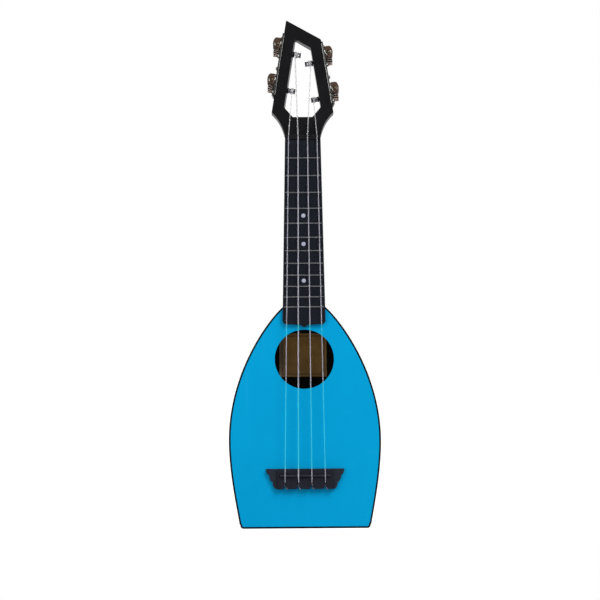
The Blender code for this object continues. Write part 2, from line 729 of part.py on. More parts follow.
def make_fretboard():
    mesh = outline_prism("fretboard", fretboard_outline(), FRETBOARD_FRONT, FRETBOARD_BACK)
    board = add_mesh("fretboard", mesh, FRETBOARD_BLACK)
    bm = bmesh.new()
    half_slot = FRET_TANG_WIDTH / 2 + FIT_GAP
    floor = FRETBOARD_FRONT + FRET_TANG_DEPTH + FIT_GAP
    for number in range(1, FRET_COUNT + 1):
        half = fret_half_length(number) + FIT_GAP
        height = fret_height(number)
        start = FRETBOARD_FRONT - CUT_OVERSHOOT
        box(bm, (-half, start, height - half_slot), (half, floor, height + half_slot))
    cut(board, add_mesh("fret_slots", finish_mesh("fret_slots", bm), None))
    dots = bmesh.new()
    for number in DOT_POSITIONS:
        height = dot_height(number)
        floor = FRETBOARD_FRONT + DOT_DEPTH + FIT_GAP
        start = FRETBOARD_FRONT - CUT_OVERSHOOT
        rod(dots, (0, start, height), (0, floor, height), DOT_RADIUS + FIT_GAP, 16)
    cut(board, add_mesh("dot_sockets", finish_mesh("dot_sockets", dots), None))


def dot_height(number):
    return (fret_height(number) + fret_height(number - 1)) / 2


def make_fret(number):
    """A fret with a round crown and a tang that stands in its slot."""
    name = f"fret_{number:02d}"
    base = -FIT_GAP
    section = [(FRET_TANG_DEPTH, -FRET_TANG_WIDTH / 2), (base, -FRET_TANG_WIDTH / 2)]
    for i in range(7):
        angle = math.pi * i / 6
        crown = base - FRET_CROWN_HEIGHT * math.sin(angle)
        section.append((crown, -FRET_CROWN_WIDTH / 2 * math.cos(angle)))
    section += [(base, FRET_TANG_WIDTH / 2), (FRET_TANG_DEPTH, FRET_TANG_WIDTH / 2)]
    half = fret_half_length(number)
    rings = [[(x, y, z) for y, z in section] for x in (-half, half)]
    place = Matrix.Translation((0, FRETBOARD_FRONT, fret_height(number)))
    add_mesh(name, loft(name, rings), STEEL, place, smooth=False)


def make_dot(number):
    bm = bmesh.new()
    rod(bm, (0, 0, 0), (0, DOT_DEPTH, 0), DOT_RADIUS, 16)
    place = Matrix.Translation((0, FRETBOARD_FRONT, dot_height(number)))
    name = f"dot_{number}"
    add_mesh(name, finish_mesh(name, bm), PEARL, place)


def make_nut():
    bm = bmesh.new()
    half = NUT_WIDTH / 2
    top = NUT_HEIGHT + NUT_THICKNESS - FIT_GAP
    face = FRETBOARD_FRONT - NUT_RISE
    box(bm, (-half, face, NUT_HEIGHT), (half, FRONT - FIT_GAP, top))
    nut = add_mesh("nut", finish_mesh("nut", bm), BLACK, smooth=False)
    slots = bmesh.new()
    floor = string_plane(NUT_HEIGHT) + FIT_GAP
    for index, diameter in enumerate(STRING_DIAMETERS):
        x = string_x(index, NUT_STRING_SPREAD)
        half_slot = diameter / 2 + FIT_GAP
        low = (x - half_slot, face - CUT_OVERSHOOT, NUT_HEIGHT - CUT_OVERSHOOT)
        box(slots, low, (x + half_slot, floor, top + CUT_OVERSHOOT))
    cut(nut, add_mesh("nut_slots", finish_mesh("nut_slots", slots), None))


def bridge_outline():
    """Wide at the top, with scalloped ends that slant in to a narrower foot."""
    upper = Vector((BRIDGE_TOP_WIDTH / 2, SADDLE_HEIGHT + BRIDGE_ABOVE_SADDLE))
    lower = Vector((BRIDGE_FOOT_WIDTH / 2, SADDLE_HEIGHT - BRIDGE_BELOW_SADDLE))
    slant = (lower - upper).normalized()
    outward = Vector((-slant[1], slant[0])) * BRIDGE_SCALLOP_BULGE * 4 / 3
    half = [upper]
    for i in range(BRIDGE_SCALLOPS):
        start = upper.lerp(lower, i / BRIDGE_SCALLOPS)
        end = upper.lerp(lower, (i + 1) / BRIDGE_SCALLOPS)
        half += bezier(start, start.lerp(end, 0.3) + outward, start.lerp(end, 0.7) + outward, end, 4)
    return mirrored(half)


def make_bridge():
    base = FRONT - FIT_GAP
    wing_face = base - BRIDGE_WING_THICKNESS
    block_face = base - BRIDGE_BLOCK_THICKNESS
    wings = outline_prism("bridge", bridge_outline(), wing_face, base)
    bridge = add_mesh("bridge", wings, BRIDGE_BROWN)
    bm = bmesh.new()
    top = SADDLE_HEIGHT + BRIDGE_ABOVE_SADDLE - FIT_GAP
    foot = SADDLE_HEIGHT - BRIDGE_BELOW_SADDLE + FIT_GAP
    half = BRIDGE_BLOCK_WIDTH / 2
    box(bm, (-half, block_face, foot), (half, base - BRIDGE_WING_THICKNESS / 2, top))
    cut(bridge, add_mesh("bridge_block", finish_mesh("bridge_block", bm), None), "UNION")
    slots = bmesh.new()
    half_slot = SADDLE_THICKNESS / 2 + FIT_GAP
    half_length = SADDLE_LENGTH / 2 + FIT_GAP
    floor = block_face + SADDLE_SLOT_DEPTH + FIT_GAP
    box(
        slots,
        (-half_length, block_face - CUT_OVERSHOOT, SADDLE_HEIGHT - half_slot),
        (half_length, floor, SADDLE_HEIGHT + half_slot),
    )
    for index, diameter in enumerate(STRING_DIAMETERS):
        x = string_x(index, SADDLE_STRING_SPREAD)
        half_notch = diameter / 2 + FIT_GAP
        box(
            slots,
            (x - half_notch, block_face - CUT_OVERSHOOT, foot - CUT_OVERSHOOT),
            (x + half_notch, base - NOTCH_FLOOR, foot + NOTCH_LENGTH),
        )
    cut(bridge, add_mesh("bridge_slots", finish_mesh("bridge_slots", slots), None))
    mouths = bmesh.new()
    for index in range(len(STRING_NAMES)):
        outline = notch_mouth_outline(string_x(index, SADDLE_STRING_SPREAD))
        add_outline_prism(mouths, outline, block_face - CUT_OVERSHOOT, base + CUT_OVERSHOOT)
    cut(bridge, add_mesh("notch_mouths", finish_mesh("notch_mouths", mouths), None))


def notch_mouth_outline(x):
    """The V at the bridge's foot where a string's knot sits."""
    foot = SADDLE_HEIGHT - BRIDGE_BELOW_SADDLE
    half = NOTCH_MOUTH_WIDTH / 2
    below = foot - CUT_OVERSHOOT
    mouth = [(x + half, foot), (x + half, below), (x - half, below), (x - half, foot)]
    return [(x, foot + NOTCH_MOUTH_LENGTH)] + mouth


def make_saddle():
    bm = bmesh.new()
    block_face = FRONT - FIT_GAP - BRIDGE_BLOCK_THICKNESS
    half = SADDLE_THICKNESS / 2
    top = string_plane(SADDLE_HEIGHT) + FIT_GAP
    box(
        bm,
        (-SADDLE_LENGTH / 2, top, SADDLE_HEIGHT - half),
        (SADDLE_LENGTH / 2, block_face + SADDLE_SLOT_DEPTH, SADDLE_HEIGHT + half),
    )
    saddle = add_mesh("saddle", finish_mesh("saddle", bm), BRIDGE_BROWN, smooth=False)
    bevel_edges(saddle, SADDLE_CROWN)


def tuner_side(index):
    """Strings g and c go to the left rail, e and a to the right one."""
    return -1 if index < 2 else 1


def tuner_station(index):
    """Gear's place along its rail: the outer strings take the lower tuners."""
    lower = LEFT_STATION if tuner_side(index) < 0 else RIGHT_STATION
    return lower if index in (0, 3) else lower + TUNER_SPACING


def rail_frame(side, station):
    """On a rail's outer side at the head's middle: X away from the left rail, Y up it, Z is w."""
    u, v = side_point(side, station)
    turn = Matrix.Rotation(side * HEAD_FLARE, 4, "Z")
    return head_frame() @ Matrix.Translation((u, v, -HEAD_THICKNESS / 2)) @ turn


def add_rail_holes(bm):
    """Adds the holes that posts and plate screws need in the headstock's rails."""
    for index in range(len(STRING_NAMES)):
        side = tuner_side(index)
        frame = rail_frame(side, tuner_station(index))
        outer = frame @ Vector((side * CUT_OVERSHOOT, 0, 0))
        inner = frame @ Vector((-side * (HEAD_RAIL_WIDTH + CUT_OVERSHOOT), 0, 0))
        rod(bm, outer, inner, POST_SHAFT_RADIUS + FIT_GAP, 12)
    for side, lower in ((-1, LEFT_STATION), (1, RIGHT_STATION)):
        for place in SCREW_PLACES:
            frame = rail_frame(side, lower + place)
            outer = frame @ Vector((side * CUT_OVERSHOOT, 0, 0))
            inner = frame @ Vector((-side * SCREW_SHANK_LENGTH, 0, 0))
            rod(bm, outer, inner, SCREW_SHANK_RADIUS + FIT_GAP, 8)


def tab_outline(side):
    """Outline of a bearing tab in x and s, standing on the plate beside one worm."""
    root = PLATE_FACE - PLATE_THICKNESS / 2
    low = GEAR_TO_WORM - TAB_BELOW
    high = GEAR_TO_WORM + TAB_ABOVE
    radius = TAB_CORNER_RADIUS
    points = [Vector((root, low))]
    points += arc((TAB_REACH - radius, low + radius), radius, -90, 0, 4)
    points += arc((TAB_REACH - radius, high - radius), radius, 0, 90, 4)
    points.append(Vector((root, high)))
    return [(side * x, s) for x, s in points]


def make_tuner_plate(side):
    name = "tuner_plate_left" if side < 0 else "tuner_plate_right"
    lower = LEFT_STATION if side < 0 else RIGHT_STATION
    frame = rail_frame(side, lower)
    top = TUNER_SPACING + PLATE_ABOVE
    bm = bmesh.new()
    low = (min(side * FIT_GAP, side * PLATE_FACE), -PLATE_BELOW, -PLATE_HALF_WIDTH)
    high = (max(side * FIT_GAP, side * PLATE_FACE), top, PLATE_HALF_WIDTH)
    box(bm, low, high)
    plate = add_mesh(name, finish_mesh(name, bm), NICKEL, frame, smooth=False)
    tabs = bmesh.new()
    for offset in (0, TUNER_SPACING):
        for w in (-TAB_FACE, TAB_FACE - TAB_THICKNESS):
            face = tabs.faces.new([tabs.verts.new((x, s + offset, w)) for x, s in tab_outline(side)])
            push(tabs, [face], (0, 0, TAB_THICKNESS))
    cut(plate, add_mesh(name + "_tabs", finish_mesh(name + "_tabs", tabs), None, frame), "UNION")
    holes = bmesh.new()
    through = PLATE_FACE + CUT_OVERSHOOT
    for offset in (0, TUNER_SPACING):
        rod(holes, (-through, offset, 0), (through, offset, 0), POST_SHAFT_RADIUS + FIT_GAP, 12)
        axis = (side * GEAR_OUTBOARD, offset + GEAR_TO_WORM)
        end = TAB_FACE + CUT_OVERSHOOT
        rod(holes, (*axis, -end), (*axis, end), WORM_JOURNAL_RADIUS + FIT_GAP, 12)
    for place in SCREW_PLACES:
        rod(holes, (-through, place, 0), (through, place, 0), SCREW_SHANK_RADIUS + FIT_GAP, 8)
    cut(plate, add_mesh(name + "_holes", finish_mesh(name + "_holes", holes), None, frame))


def make_plate_screw(side, order, place):
    name = f"plate_screw_{'left' if side < 0 else 'right'}_{order}"
    lower = LEFT_STATION if side < 0 else RIGHT_STATION
    frame = rail_frame(side, lower + place)
    seat = frame @ Matrix.Translation((side * (PLATE_FACE + FIT_GAP), 0, 0))
    outward = seat.to_3x3() @ Vector((side, 0, 0))
    profile = [(0, SCREW_HEAD_HEIGHT)]
    profile += [(SCREW_HEAD_RADIUS * out, SCREW_HEAD_HEIGHT * up) for out, up in SCREW_DOME]
    profile += [
        (SCREW_HEAD_RADIUS, 0),
        (SCREW_SHANK_RADIUS, 0),
        (SCREW_SHANK_RADIUS, -SCREW_SHANK_LENGTH * (1 - SCREW_POINT)),
        (0, -SCREW_SHANK_LENGTH),
    ]
    turned(name, profile, NICKEL, aim(seat.translation, outward), sides=10)


def make_gear(name, frame, side):
    """Teeth lean a little so that they follow the worm's thread."""
    lean = TOOTH_PITCH / (2 * math.pi * WORM_PITCH_RADIUS * GEAR_PITCH_RADIUS)
    count = GEAR_TEETH * 6
    rings = []
    for x in (-GEAR_THICKNESS / 2, GEAR_THICKNESS / 2):
        ring = []
        for i in range(count):
            angle = 2 * math.pi * i / count
            radius = GEAR_PITCH_RADIUS + TOOTH_HEIGHT * math.cos(GEAR_TEETH * angle)
            turned_angle = angle + lean * x
            ring.append((x, radius * math.cos(turned_angle), radius * math.sin(turned_angle)))
        rings.append(ring)
    place = frame @ Matrix.Translation((side * GEAR_OUTBOARD, 0, 0))
    gear = add_mesh(name, loft(name, rings), BRONZE, place, smooth=False)
    bore = bmesh.new()
    rod(bore, (-GEAR_THICKNESS, 0, 0), (GEAR_THICKNESS, 0, 0), POST_SHAFT_RADIUS + FIT_GAP, 12)
    cut(gear, add_mesh(name + "_bore", finish_mesh(name + "_bore", bore), None, place))


def make_worm(name, frame, side):
    """Thread between two journals; the front end shows in the tab, the back end holds the knob."""
    place = frame @ Matrix.Translation((side * GEAR_OUTBOARD, GEAR_TO_WORM, 0))
    half = WORM_LENGTH / 2
    inner = TAB_FACE - TAB_THICKNESS - FIT_GAP
    back = TAB_FACE + KNOB_STANDOFF

    def ring(radius, w):
        return [(radius * math.cos(a), radius * math.sin(a), w) for a in angles]

    angles = [2 * math.pi * i / WORM_SIDES for i in range(WORM_SIDES)]
    rings = [
        ring(KNOB_SHAFT_RADIUS, -back - KNOB_SHAFT_LENGTH),
        ring(KNOB_SHAFT_RADIUS, -back),
        ring(WORM_JOURNAL_RADIUS, -back),
        ring(WORM_JOURNAL_RADIUS, -inner),
    ]
    for i in range(WORM_STEPS + 1):
        w = -half + WORM_LENGTH * i / WORM_STEPS
        thread = []
        for a in angles:
            phase = 2 * math.pi * w / TOOTH_PITCH - (a + math.pi / 2)
            radius = WORM_PITCH_RADIUS - TOOTH_HEIGHT * math.cos(phase)
            thread.append((radius * math.cos(a), radius * math.sin(a), w))
        rings.append(thread)
    front = TAB_FACE + FIT_GAP
    rings += [
        ring(WORM_JOURNAL_RADIUS, inner),
        ring(WORM_JOURNAL_RADIUS, front),
        ring(WORM_JOURNAL_RADIUS, front + WORM_END_PROUD),
    ]
    add_mesh(name, loft(name, rings), BRONZE, place, smooth=False)


def make_knob(name, frame, side):
    """An oval button behind the headstock, pressed on the worm's shaft."""
    place = frame @ Matrix.Translation((side * GEAR_OUTBOARD, GEAR_TO_WORM, 0))
    start = -(TAB_FACE + KNOB_STANDOFF + FIT_GAP)
    bore = KNOB_SHAFT_RADIUS + FIT_GAP
    floor = -(TAB_FACE + KNOB_STANDOFF + KNOB_SHAFT_LENGTH + FIT_GAP)
    neck = KNOB_NECK_RADIUS
    wide, tall = KNOB_HALF_WIDTH, KNOB_HALF_HEIGHT
    rings = [(bore, bore, floor), (bore, bore, start), (neck, neck, start)]
    rings.append((neck, neck, start - KNOB_LENGTH * KNOB_COLLAR))
    for share, fullness in KNOB_SWELL:
        rings.append((wide * fullness, tall * fullness, start - KNOB_LENGTH * share))
    angles = [2 * math.pi * i / KNOB_SIDES for i in range(KNOB_SIDES)]
    points = []
    for half_x, half_s, w in rings:
        points.append([(half_x * math.cos(a), half_s * math.sin(a), w) for a in angles])
    add_mesh(name, loft(name, points), BRONZE, place)


def make_post(name, frame, side):
    """Shaft through the rail, with the gear's seat outside and the string's roller in the window."""
    inward = frame.to_3x3() @ Vector((-side, 0, 0))
    gear_face = GEAR_OUTBOARD - GEAR_THICKNESS / 2 - FIT_GAP
    outer_end = GEAR_OUTBOARD + GEAR_THICKNESS / 2 + POST_END_PROUD
    wall = HEAD_RAIL_WIDTH + POST_WALL_GAP
    tip = wall + POST_ROLLER_LENGTH
    profile = (
        (0, tip),
        (POST_FLANGE_RADIUS, tip),
        (POST_FLANGE_RADIUS, tip - POST_FLANGE_THICKNESS),
        (POST_ROLLER_RADIUS, tip - POST_FLANGE_THICKNESS * 1.8),
        (POST_ROLLER_RADIUS, wall + POST_FLANGE_THICKNESS * 1.6),
        (POST_FLANGE_RADIUS, wall + POST_FLANGE_THICKNESS),
        (POST_FLANGE_RADIUS, wall),
        (POST_SHAFT_RADIUS, wall),
        (POST_SHAFT_RADIUS, -PLATE_FACE - FIT_GAP),
        (POST_COLLAR_RADIUS, -PLATE_FACE - FIT_GAP),
        (POST_COLLAR_RADIUS, -gear_face),
        (POST_SHAFT_RADIUS, -gear_face),
        (POST_SHAFT_RADIUS, -outer_end),
        (0, -outer_end),
    )
    post = turned(name, profile, NICKEL, aim(frame.translation, inward), sides=14)
    hole = bmesh.new()
    at = tip - POST_HOLE_FROM_END
    reach = POST_FLANGE_RADIUS * 1.5
    rod(hole, (-reach, 0, at), (reach, 0, at), POST_HOLE_RADIUS, 8)
    cutter = add_mesh(name + "_hole", finish_mesh(name + "_hole", hole), None, post.matrix_world.copy())
    cut(post, cutter)


def make_tuner(index):
    side = tuner_side(index)
    frame = rail_frame(side, tuner_station(index))
    letter = STRING_NAMES[index]
    make_post(f"string_post_{letter}", frame, side)
    make_gear(f"gear_{letter}", frame, side)
    make_worm(f"worm_{letter}", frame, side)
    make_knob(f"knob_{letter}", frame, side)


def string_route(index):
    """From the knot behind the bridge over saddle and nut to the front of its post."""
    radius = STRING_DIAMETERS[index] / 2
    saddle_x = string_x(index, SADDLE_STRING_SPREAD)
    nut_x = string_x(index, NUT_STRING_SPREAD)
    foot = SADDLE_HEIGHT - BRIDGE_BELOW_SADDLE
    notch_y = FRONT - FIT_GAP - NOTCH_FLOOR - FIT_GAP - radius
    saddle_y = string_plane(SADDLE_HEIGHT) - radius
    nut_y = string_plane(NUT_HEIGHT) - radius
    nut_back = NUT_HEIGHT + NUT_THICKNESS
    side = tuner_side(index)
    frame = rail_frame(side, tuner_station(index))
    inboard = HEAD_RAIL_WIDTH + STRING_REACH[index]
    lift = POST_ROLLER_RADIUS + radius + FIT_GAP
    meet = frame @ Vector((-side * inboard, 0, lift))
    return [
        Vector((saddle_x, notch_y, foot - KNOT_DROP)),
        Vector((saddle_x, notch_y, foot + FIT_GAP)),
        Vector((saddle_x, saddle_y + STRING_SADDLE_DROP, SADDLE_HEIGHT - SADDLE_THICKNESS / 2)),
        Vector((saddle_x, saddle_y, SADDLE_HEIGHT)),
        Vector((nut_x, nut_y, NUT_HEIGHT)),
        Vector((nut_x, nut_y + STRING_NUT_DROP, nut_back - FIT_GAP)),
        meet,
    ]


def make_string(index):
    name = f"string_{STRING_NAMES[index]}"
    curve = bpy.data.curves.new(name, "CURVE")
    curve.dimensions = "3D"
    curve.bevel_depth = STRING_DIAMETERS[index] / 2
    curve.bevel_resolution = 2
    curve.use_fill_caps = True
    route = string_route(index)
    spline = curve.splines.new("POLY")
    spline.points.add(len(route) - 1)
    for point, place in zip(spline.points, route):
        point.co = (*place, 1)
    curve.materials.append(material_for(NYLON))
    PIECES.objects.link(bpy.data.objects.new(name, curve))


def make_ukulele():
    make_body_shell()
    make_soundboard()
    make_rim_lining()
    make_neck_block()
    make_neck_bolt()
    make_brace("upper_brace", SOUNDHOLE_HEIGHT + SOUNDHOLE_RADIUS + UPPER_BRACE_OFFSET)
    make_brace("lower_brace", SOUNDHOLE_HEIGHT - SOUNDHOLE_RADIUS - LOWER_BRACE_OFFSET)
    make_bridge_plate()
    make_label()
    make_neck()
    make_fretboard()
    for number in range(1, FRET_COUNT + 1):
        make_fret(number)
    for number in DOT_POSITIONS:
        make_dot(number)
    make_nut()
    make_bridge()
    make_saddle()
    for side in (-1, 1):
        make_tuner_plate(side)
        for order, place in enumerate(SCREW_PLACES, start=1):
            make_plate_screw(side, order, place)
    for index in range(len(STRING_NAMES)):
        make_tuner(index)
        make_string(index)


make_ukulele()
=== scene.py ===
"""Soprano ukulele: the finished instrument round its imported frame, ready to photograph.

Metres. Z runs up along the neck, the front faces -Y, and +X is to the right seen from the front.
"""

import math

import bmesh
import bpy
from mathutils import Matrix, Vector


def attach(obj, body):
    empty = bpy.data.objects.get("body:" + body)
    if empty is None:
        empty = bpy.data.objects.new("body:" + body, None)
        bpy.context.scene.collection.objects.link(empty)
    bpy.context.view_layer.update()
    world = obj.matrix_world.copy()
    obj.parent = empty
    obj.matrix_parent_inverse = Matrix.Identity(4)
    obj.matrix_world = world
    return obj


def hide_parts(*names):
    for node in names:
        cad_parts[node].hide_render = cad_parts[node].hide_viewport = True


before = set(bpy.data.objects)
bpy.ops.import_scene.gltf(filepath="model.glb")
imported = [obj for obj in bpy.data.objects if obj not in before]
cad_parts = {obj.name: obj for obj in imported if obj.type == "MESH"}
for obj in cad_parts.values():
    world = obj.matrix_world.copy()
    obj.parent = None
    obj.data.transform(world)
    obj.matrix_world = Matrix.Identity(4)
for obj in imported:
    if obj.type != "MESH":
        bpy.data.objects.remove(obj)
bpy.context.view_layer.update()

FIT_GAP = 0.0003
PLAY = 0.0001  # between pieces that touch or slide
OVERCUT = 0.001  # how far a cutter runs past the surface that it cuts
ON_PLANE = 1e-5  # a point this near to a plane lies on it
WELD = 0.0000005  # points this close become one
STRINGS = ("g", "c", "e", "a")
SIDES = ((-1, "left"), (1, "right"))

# Strings
SCALE_LENGTH = 0.345
STRING_DIAMETERS = (0.0009, 0.0013, 0.00105, 0.0009)
NUT_SPREAD = 0.0293  # outer string to outer string
SADDLE_SPREAD = 0.0414
CLEARANCE_AT_NUT = 0.0004
CLEARANCE_AT_JOINT = 0.0024
STRING_BEND = 0.0009
STRING_START = 0.0042  # this and the next two are heights above the bridge's foot
STRING_RISE = 0.0055
STRING_AT_BLOCK = 0.0072
SADDLE_DIP = 0.0005  # how much deeper the string lies behind the saddle's top
SADDLE_CREST = 0.0002
NUT_DIP = 0.0002
NUT_CREST = 0.0006
NUT_BACK = 0.0014
KNOT_HEIGHT = 0.0040
KNOT_SIZE = 1.35  # the turn's radius, in string radii
KNOT_SPREAD = 2.4
KNOT_BEND = 0.0004
KNOT_TAIL_START = 0.0019
KNOT_TAIL = (0.0022, -0.0005)  # its end: right of the string, and above the bridge's foot

# Body
BODY_LENGTH = 0.228
BODY_DEPTH = 0.060
FRONT = -BODY_DEPTH / 2
BODY_HALF_WIDTH = 0.0783
WIDEST_HEIGHT = 0.0903
BASE_HALF_WIDTH = 0.0671
SHOULDER_HANDLE = Vector((0.018, -0.0161))
FLANK_UP = 0.0672
FLANK_DOWN = 0.0368
BASE_HANDLE = Vector((0.0016, 0.0125))
BASE_CORNER = 0.0036
BACK_EDGE = 0.0032
CAVITY_EDGE = 0.0015
LIP_EDGE = 0.0001
WALL = 0.0022
LIP = 0.0015
BOARD_THICKNESS = 0.0020
BOARD_BACK = FRONT + BOARD_THICKNESS
BOARD_EDGE = 0.0003
SOUNDHOLE_RADIUS = 0.0304
SOUNDHOLE_HEIGHT = BODY_LENGTH - 0.054
LABEL_SIZE = Vector((0.049, 0.045))
LABEL_MIDDLE = Vector((-0.0014, SOUNDHOLE_HEIGHT + 0.0038))
LABEL_PAPER = 0.00018
LABEL_LIFT = 0.0002
LABEL_CURL = 0.0012
BACK_INSIDE = BODY_DEPTH / 2 - WALL
BOLT_RADIUS = 0.003
BOLT_Y = FRONT + 0.018
BOLT_BELOW = 0.01  # the bolt's bores reach this far below the joint
BOLT_IN_WALL = 0.01
BOLT_IN_HEEL = 0.0206

# Neck, fretboard and nut
NUT_WIDTH = 0.0367
JOINT_WIDTH = 0.0435
NUT_HEIGHT = BODY_LENGTH + SCALE_LENGTH / 2
NUT_THICKNESS = 0.0048
NUT_RISE = 0.0021
NUT_CROWN = 0.0016
NUT_EDGE = 0.00035
NECK_DEPTH = 0.016
NECK_FULLNESS = (0.85, 0.9)  # below 1, the neck's back is squarer across and in depth
NECK_RINGS = 36
RING_CROWDING = 1.7  # above 1, the rings lie closer together at the heel
HEEL_TOP_DEPTH = 0.018
HEEL_DEPTH = 0.046
HEEL_LENGTH = 0.036
HEEL_SHARPNESS = 2.4
NECK_SIDE = 0.0025
BOARD_BED = FRONT - FIT_GAP
FRETBOARD_FACE = BOARD_BED - 0.0040
FRETBOARD_EDGE = 0.0004
NEAR_NUT = 0.001  # the edge against the nut, this near to it, stays sharp
OVERHANG = 0.0178
FRETBOARD_CORNER = 0.004
FRETBOARD_TIP = (0.0036, 0.0008, 0.0034)  # half its width, the drop at its sides, the drop at its point
FRETS = range(1, 13)
FRET_WIDTH = 0.0015
FRET_HEIGHT = 0.0009
FRET_TOP = FRETBOARD_FACE - FIT_GAP - FRET_HEIGHT
FRET_TANG = 0.0006
FRET_TANG_DEPTH = 0.0014
FRET_MARGIN = 0.0010
FRET_END_SLANT = 0.55
FRET_END_EDGE = 0.00018
FRET_FLANK = 0.0002  # the crown's lowest part stays sharp
DOT_RADIUS = 0.00215
DOT_DEPTH = 0.0014
DOT_SWELL = (0.00008, 0.00005)  # over its middle, and at 0.6 of its radius
DOT_EDGE = 0.0001
DOTS = (5, 7, 10)

# Bridge
SADDLE_HEIGHT = NUT_HEIGHT - SCALE_LENGTH - 0.001
BRIDGE_HEAD = SADDLE_HEIGHT + 0.0070
BRIDGE_FOOT = SADDLE_HEIGHT - 0.0139
BRIDGE_HALF_HEAD = 0.0803 / 2
BRIDGE_HALF_FOOT = 0.0598 / 2
WING_FACE = BOARD_BED - 0.0034
WING_EDGE = 0.0007
BLOCK_FACE = BOARD_BED - 0.0066
BLOCK_HALF_WIDTH = 0.0576 / 2
BLOCK_EDGE = 0.0008
BLOCK_SUNK = 0.0015
SCALLOPS = 3
SCALLOP_BULGE = 0.0012
SADDLE_THICKNESS = 0.0030
SADDLE_TRIM = 0.0004  # off each side, so that its slot shows as a dark line
SADDLE_CROWN = 0.0011
SADDLE_HALF_LENGTH = 0.0517 / 2
SADDLE_SLOT_DEPTH = 0.0034
NOTCH_LENGTH = 0.0095
NOTCH_FLOOR = 0.0022
MOUTH_WIDTH = 0.0042
MOUTH_LENGTH = 0.0046

# Headstock: u across, v up along it from the nut, w out of its face
HEAD_TILT = math.radians(12.5)
HEAD_THICKNESS = 0.012
HEAD_HALF_WIDTH = 0.0318
HEAD_SHOULDER = 0.0236
HEAD_FLARE = math.radians(9.0)
HEAD_SIDES = {-1: 0.0992, 1: 0.0784}
HEAD_CORNER = 0.0011
HEAD_EDGE = 0.00045
RAIL_WIDTH = 0.0120
HEAD_FOOT = 0.0376
HEAD_WAIST = Vector((0.0221, 0.0143))
WINDOW_FOOT = Vector((0.0101, 0.0185))
WINDOW_CORNER = 0.0291
WINDOW_ROUND = 0.0006
WALL_SLANT = 0.075  # how far the left rail's inner wall leans into the window, per depth
WINDOW_TOPS = {-1: 0.1016, 1: 0.0922}
JOIN_LENGTH = 0.012
JOIN_SINK = 0.001
JOIN_TAPER = 0.0012
JOIN_DEPTH = 0.0108
JOIN_STEPS = ((0.2, 0.2), (0.45, 0.5), (0.75, 0.8), (1.0, 0.95))  # share of its length, of its thinning

# Tuners: x out of the rail, s up along it, w out of the head's face
TUNER_SPACING = 0.0388
STATIONS = {-1: 0.0268, 1: 0.0173}
GEAR_TEETH = 14
GEAR_RADIUS = 0.0045
TOOTH = 0.0006
TOOTH_FLATNESS = 1.5  # above 1, crests and valleys are flat
TOOTH_EDGE = 0.00016
TOOTH_POINTS = 12
GEAR_THICKNESS = 0.0050
GEAR_GROOVE = (0.0026, 0.0034, 0.0004)  # inner and outer radius, depth
GEAR_SHOULDER = 0.0007
SHOULDER_RADII = (0.0016, 0.0036, 0.0044, 0.0046)  # bore, foot, rim, face
SHOULDER_EDGE = 0.0003
OUTBOARD = 0.0052
WORM_RADIUS = 0.0030
GEAR_TO_WORM = GEAR_RADIUS + WORM_RADIUS + 0.00035
TOOTH_PITCH = 2 * math.pi * GEAR_RADIUS / GEAR_TEETH
WORM_LENGTH = 0.0070
WORM_RUN_OUT = 0.0008
WORM_STEPS = 84
WORM_BACK = 0.0009  # how far its journal reaches behind the ears
WORM_FRONT = 0.0003
WORM_TAIL = 0.0070  # the shaft inside the button
JOURNAL_RADIUS = 0.0019
PLATE_FACE = FIT_GAP + 0.0012
PLATE_HALF_WIDTH = 0.0052
PLATE_BELOW = 0.0105
PLATE_ABOVE = 0.0211
PLATE_END = 0.0046
PLATE_EDGE = 0.00025
BEAD_RADIUS = 0.00045
BEAD_INSET = (0.00035, 0.0001, 0.003)  # into the rail, behind the plate's front edge, from its ends
REBATE_DEPTH = 0.0009
REBATE_FLOOR = 0.0011
REBATE_END = 0.0018
EAR_THICKNESS = 0.0010
EAR_FACE = 0.0050
EAR_EDGE = 0.0002
EAR_HOOK = (  # from its foot round the hook to its thin link with the foot, then down the slot
    (0.0016, -0.0044), (0.0080, -0.0044), (0.0090, -0.0036), (0.0097, -0.0010),
    (0.0099, 0.0010), (0.0096, 0.0034), (0.0087, 0.0056), (0.0074, 0.0066),
    (0.0060, 0.0068), (0.0027, 0.0068), (0.0025, 0.0065), (0.0016, 0.0064),
    (0.0016, 0.0055), (0.0025, 0.0054), (0.0025, -0.0030), (0.0016, -0.0034),
)
FOOT_SPANS = ((-0.0043, -0.0032), (0.0055, 0.0064))
FOOT_HEIGHT = 0.0008
LUG_REACH = 0.0033
LUG_SPAN = (-0.0058, -0.0044)
LUG_HALF_WIDTH = 0.0016
LUG_EDGE = 0.0003
CLIP_ARCS = ((-62, 22), (150, 228))  # degrees, from the side towards the plate
CLIP_RADIUS = 0.0027
CLIP_WIRE = 0.00033
RIVET_EDGE = 0.0004
RIVET_HEAD = ((0, 0.0010), (0.0013, 0.00085), (0.0021, 0.0003), (0.0021, -0.0002), (0, -0.0002))
BUTTON_LENGTH = 0.0125
BUTTON_HALVES = (0.0042, 0.0058, 1.0)  # across the plate, along it, and along the shaft
BUTTON_SWELL = (  # share of its width, share of its length
    (0, 0.10), (0.50, 0.10), (0.80, 0.16), (0.95, 0.28), (1.0, 0.42), (1.0, 0.60),
    (0.985, 0.78), (0.88, 0.91), (0.62, 0.985), (0.30, 1.0), (0, 1.0),
)
BUTTON_EDGE = 0.0012
COLLAR_EDGE = 0.0003
BUTTON_COLLAR = ((0, 0), (0.0029, 0), (0.0029, -0.0016), (0.0024, -0.0026), (0, -0.0026))
SHAFT_RADIUS = 0.0015
ROLLER_RADIUS = 0.0025
FLANGE_RADIUS = 0.0029
FLANGE = 0.0010
FLANGE_FOOT = 1.6  # where the flared ends begin, in flange thicknesses
FLANGE_NECK = 1.8
CAP_THICKNESS = 0.9 * FLANGE
CAP_EDGE = 0.0004
